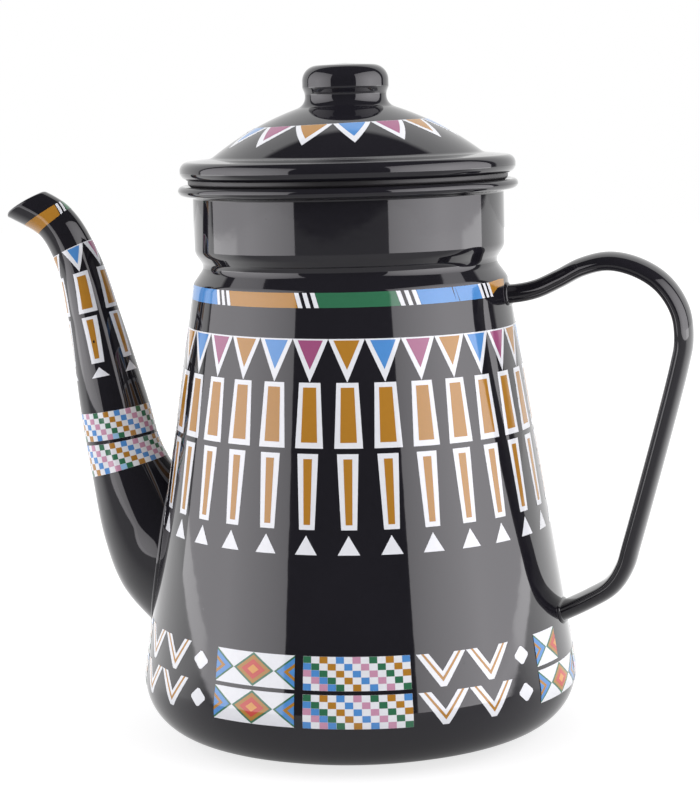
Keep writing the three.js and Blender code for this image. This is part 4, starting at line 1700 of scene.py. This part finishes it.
def small_diamond(drawing, low):
    """A white diamond with its four corners cut."""
    shape(drawing, [
        (SMALL_DIAMOND_AT + SMALL_DIAMOND_HALF * x, low + ROW_HEIGHT / 2 + SMALL_DIAMOND_RISE * y)
        for x, y in CUT_DIAMOND
    ], "white")


def row_unit(diamond=True, torn=False):
    """The large shapes of a unit, and the small cells of its checkers, as two drawings."""
    large, small = [], []
    for number, low in enumerate(ROW_BOTTOMS):
        hurt = torn and number == 0
        first = TORN_CHECKS if hurt else 0
        panel(large, low, not hurt)
        checker_ground(large, low, first)
        checker_cells(small, low, first)
        for left in CHEVRON_STARTS:
            motif(large, left, low, CHEVRON)
        if diamond:
            small_diamond(large, low)
    return large, small


def lay_row_units(name, unit, first, copies=1):
    """Large shapes are cut finer than cells, because both have to follow the round heel."""
    for part, drawing, detail in zip(("shapes", "checks"), unit, (3, 1)):
        lay_transfer(
            f"row_{part}_{name}", drawing, "pot", "pot", start=ROW_START + first * ROW_PERIOD,
            copies=copies, step=ROW_PERIOD, detail=detail, fall=ROW_FALL, fall_turn=POT_FALL_TURN,
        )


def lay_rows():
    lay_row_units("spout_side", row_unit(), -1, 2)
    lay_row_units("handle_side", row_unit(torn=True), 1)
    lay_row_units("back", row_unit(diamond=False), 2)


lay_rows()

# %% [markdown]
# ## The ring on the lid
# Fourteen triangles point outwards on the dome, blue, magenta and ochre in turn. Here the
# drawing's height is a distance from the axis, and the rays fall from above.
# %% Lid ring
LID_TRIANGLES = 14
LID_STEP = 25.17
LID_START = -148.7 - 3 * LID_STEP
LID_INKS = ("blue", "magenta", "ochre")
LID_FALL = 1.85
LID_FALL_TURN = -10
LID_TRIANGLE = (
    (((-12.5, 28.9), (12.5, 28.9), (0, 39.7)), "white", 0),
    (((-8.9, 29.0), (8.9, 29.0), (0, 36.5)), None, 1),
)


def lay_lid_ring():
    drawing = []
    for number in range(LID_TRIANGLES):
        motif(drawing, number * LID_STEP, 0, LID_TRIANGLE, LID_INKS[number % len(LID_INKS)])
    lay_transfer(
        "lid_ring_transfer", drawing, "dome", "lid", start=LID_START, detail=3,
        fall=LID_FALL, fall_turn=LID_FALL_TURN,
    )


lay_lid_ring()

# %% [markdown]
# ## The pattern on the spout
# The spout has the same pattern, made smaller: a band near the mouth, five columns and two
# checker bands. The drawing's height is the length along the spout, and the columns follow its twist.
# %% Spout columns
SPOUT_COLUMN_STEP = 65
SPOUT_COLUMN_LAG = 9
SPOUT_CHIPS = (
    [(4.4, 100.5), (6.2, 99.9), (9.0, 100.2), (8.2, 101.1)],
    [(-11.5, 118.3), (-8.2, 118.5), (-9.0, 119.0), (-11.5, 119.1)],
    [(-10.5, 122.3), (-7.6, 122.5), (-8.0, 122.9), (-10.5, 123.0)],
)
SPOUT_INKS = ("magenta", "ochre", "blue", "magenta", "ochre")
SPOUT_COLUMN = (
    (((13, 124.7), (51.5, 133.2), (-12, 133.2)), "white", 0),
    (((15, 127.3), (39, 132.9), (4, 132.9)), None, 1),
    (((-13, 110.6), (31, 110.6), (33, 124.5), (-5, 124.5)), "white", 0),
    (((-3.2, 111.95), (21.8, 111.95), (24.7, 123.2), (2.7, 123.2)), "ochre", 1),
    (((-6, 93.1), (19, 93.1), (26, 109.1), (-9, 109.1)), "white", 0),
    (((2.1, 94.6), (11.1, 94.6), (15.8, 108.1), (0.8, 108.1)), "ochre", 1),
    (((-10.5, 88.2), (23.5, 88.2), (7, 91.6)), "white", 0),
)


def lay_spout_columns():
    drawing = []
    middle = len(SPOUT_INKS) // 2
    for number, ink in enumerate(SPOUT_INKS):
        lag = SPOUT_COLUMN_LAG if number < middle else 0
        motif(drawing, (number - middle) * SPOUT_COLUMN_STEP - lag, 0, SPOUT_COLUMN, ink)
    for chip in SPOUT_CHIPS:
        shape(drawing, chip, "black", 2)
    lay_transfer("spout_column_transfers", drawing, "spout", "pot", detail=3)


lay_spout_columns()

# %% Spout band and checkers
SPOUT_CHECK_PITCH = 9.6
SPOUT_CHECK_COLUMNS = 37
SPOUT_CHECK_MIDDLE = 17
SPOUT_CHECK_START = -18 - SPOUT_CHECK_PITCH * (SPOUT_CHECK_MIDDLE + 0.5)
SPOUT_CHECK_BANDS = ((66.5, 76.2), (55.4, 65.3))
SPOUT_CHECK_INKS = {0: "green", 2: "ochre", 4: "blue", 6: "pink"}
SPOUT_CHECK_CYCLE = 8
PALE_CHECK = (CHECK_ROWS - 1, 3)
SPOUT_CHECK_GAP = 0.1
SPOUT_SLICE = 5
SPOUT_CHECK_FALL = 0.5
SPOUT_CHECK_FALL_TURN = 90
SPOUT_BAND_FIELDS = (
    ((-196, -190), (40, 52), "ochre"), ((43, 55), (51, 64), "white"),
    ((58, 71), (66, 80), "white"), ((70, 84), (160, 166), "green"),
)


def edge_round_spout(base, swing, square):
    """An edge that goes round the spout: its length along the spout at an angle."""
    def edge(x):
        sine = math.sin(math.radians(x))
        return base + swing * sine + square * sine ** 2
    return edge


def lay_spout_band():
    drawing = []
    root_edge = edge_round_spout(144.1, -1.0, 0.8)
    mouth_edge = edge_round_spout(149.0, -3.69, 1.33)
    for left, right, ink in SPOUT_BAND_FIELDS:
        strip(drawing, left, right, root_edge, mouth_edge, ink, step=LONG_SLICE)
    lay_transfer("spout_band_transfer", drawing, "spout", "pot", detail=2)


def spout_check_ink(row, number):
    """The ink of a cell, counted down and across from the column that faces sideways."""
    if (row, number) == PALE_CHECK:
        return "pale_blue"
    return SPOUT_CHECK_INKS.get((number - row) % SPOUT_CHECK_CYCLE)


def lay_spout_checks():
    ground, cells = [], []
    end = SPOUT_CHECK_START + SPOUT_CHECK_COLUMNS * SPOUT_CHECK_PITCH
    for low, high in SPOUT_CHECK_BANDS:
        height = (high - low) / CHECK_ROWS
        oblong(ground, SPOUT_CHECK_START, end, low, high, "white", 0, SPOUT_CHECK_PITCH * 2)
        for row in range(CHECK_ROWS):
            for number in range(SPOUT_CHECK_COLUMNS):
                ink = spout_check_ink(row, number - SPOUT_CHECK_MIDDLE)
                if ink:
                    left = SPOUT_CHECK_START + number * SPOUT_CHECK_PITCH + SPOUT_CHECK_GAP
                    right = left + SPOUT_CHECK_PITCH - 2 * SPOUT_CHECK_GAP
                    y = high - (row + 1) * height
                    oblong(cells, left, right, y + HAIR, y + height - HAIR, ink, 1, SPOUT_SLICE)
    for name, drawing, detail in (("spout_check_ground", ground, 3), ("spout_check_cells", cells, 1)):
        lay_transfer(
            name, drawing, "spout", "pot", detail=detail,
            fall=SPOUT_CHECK_FALL, fall_turn=SPOUT_CHECK_FALL_TURN,
        )


lay_spout_band()
lay_spout_checks()
for guide in (POT_GUIDE, LID_GUIDE, SPOUT_GUIDE, SPOUT_LINE):
    bpy.data.objects.remove(guide)
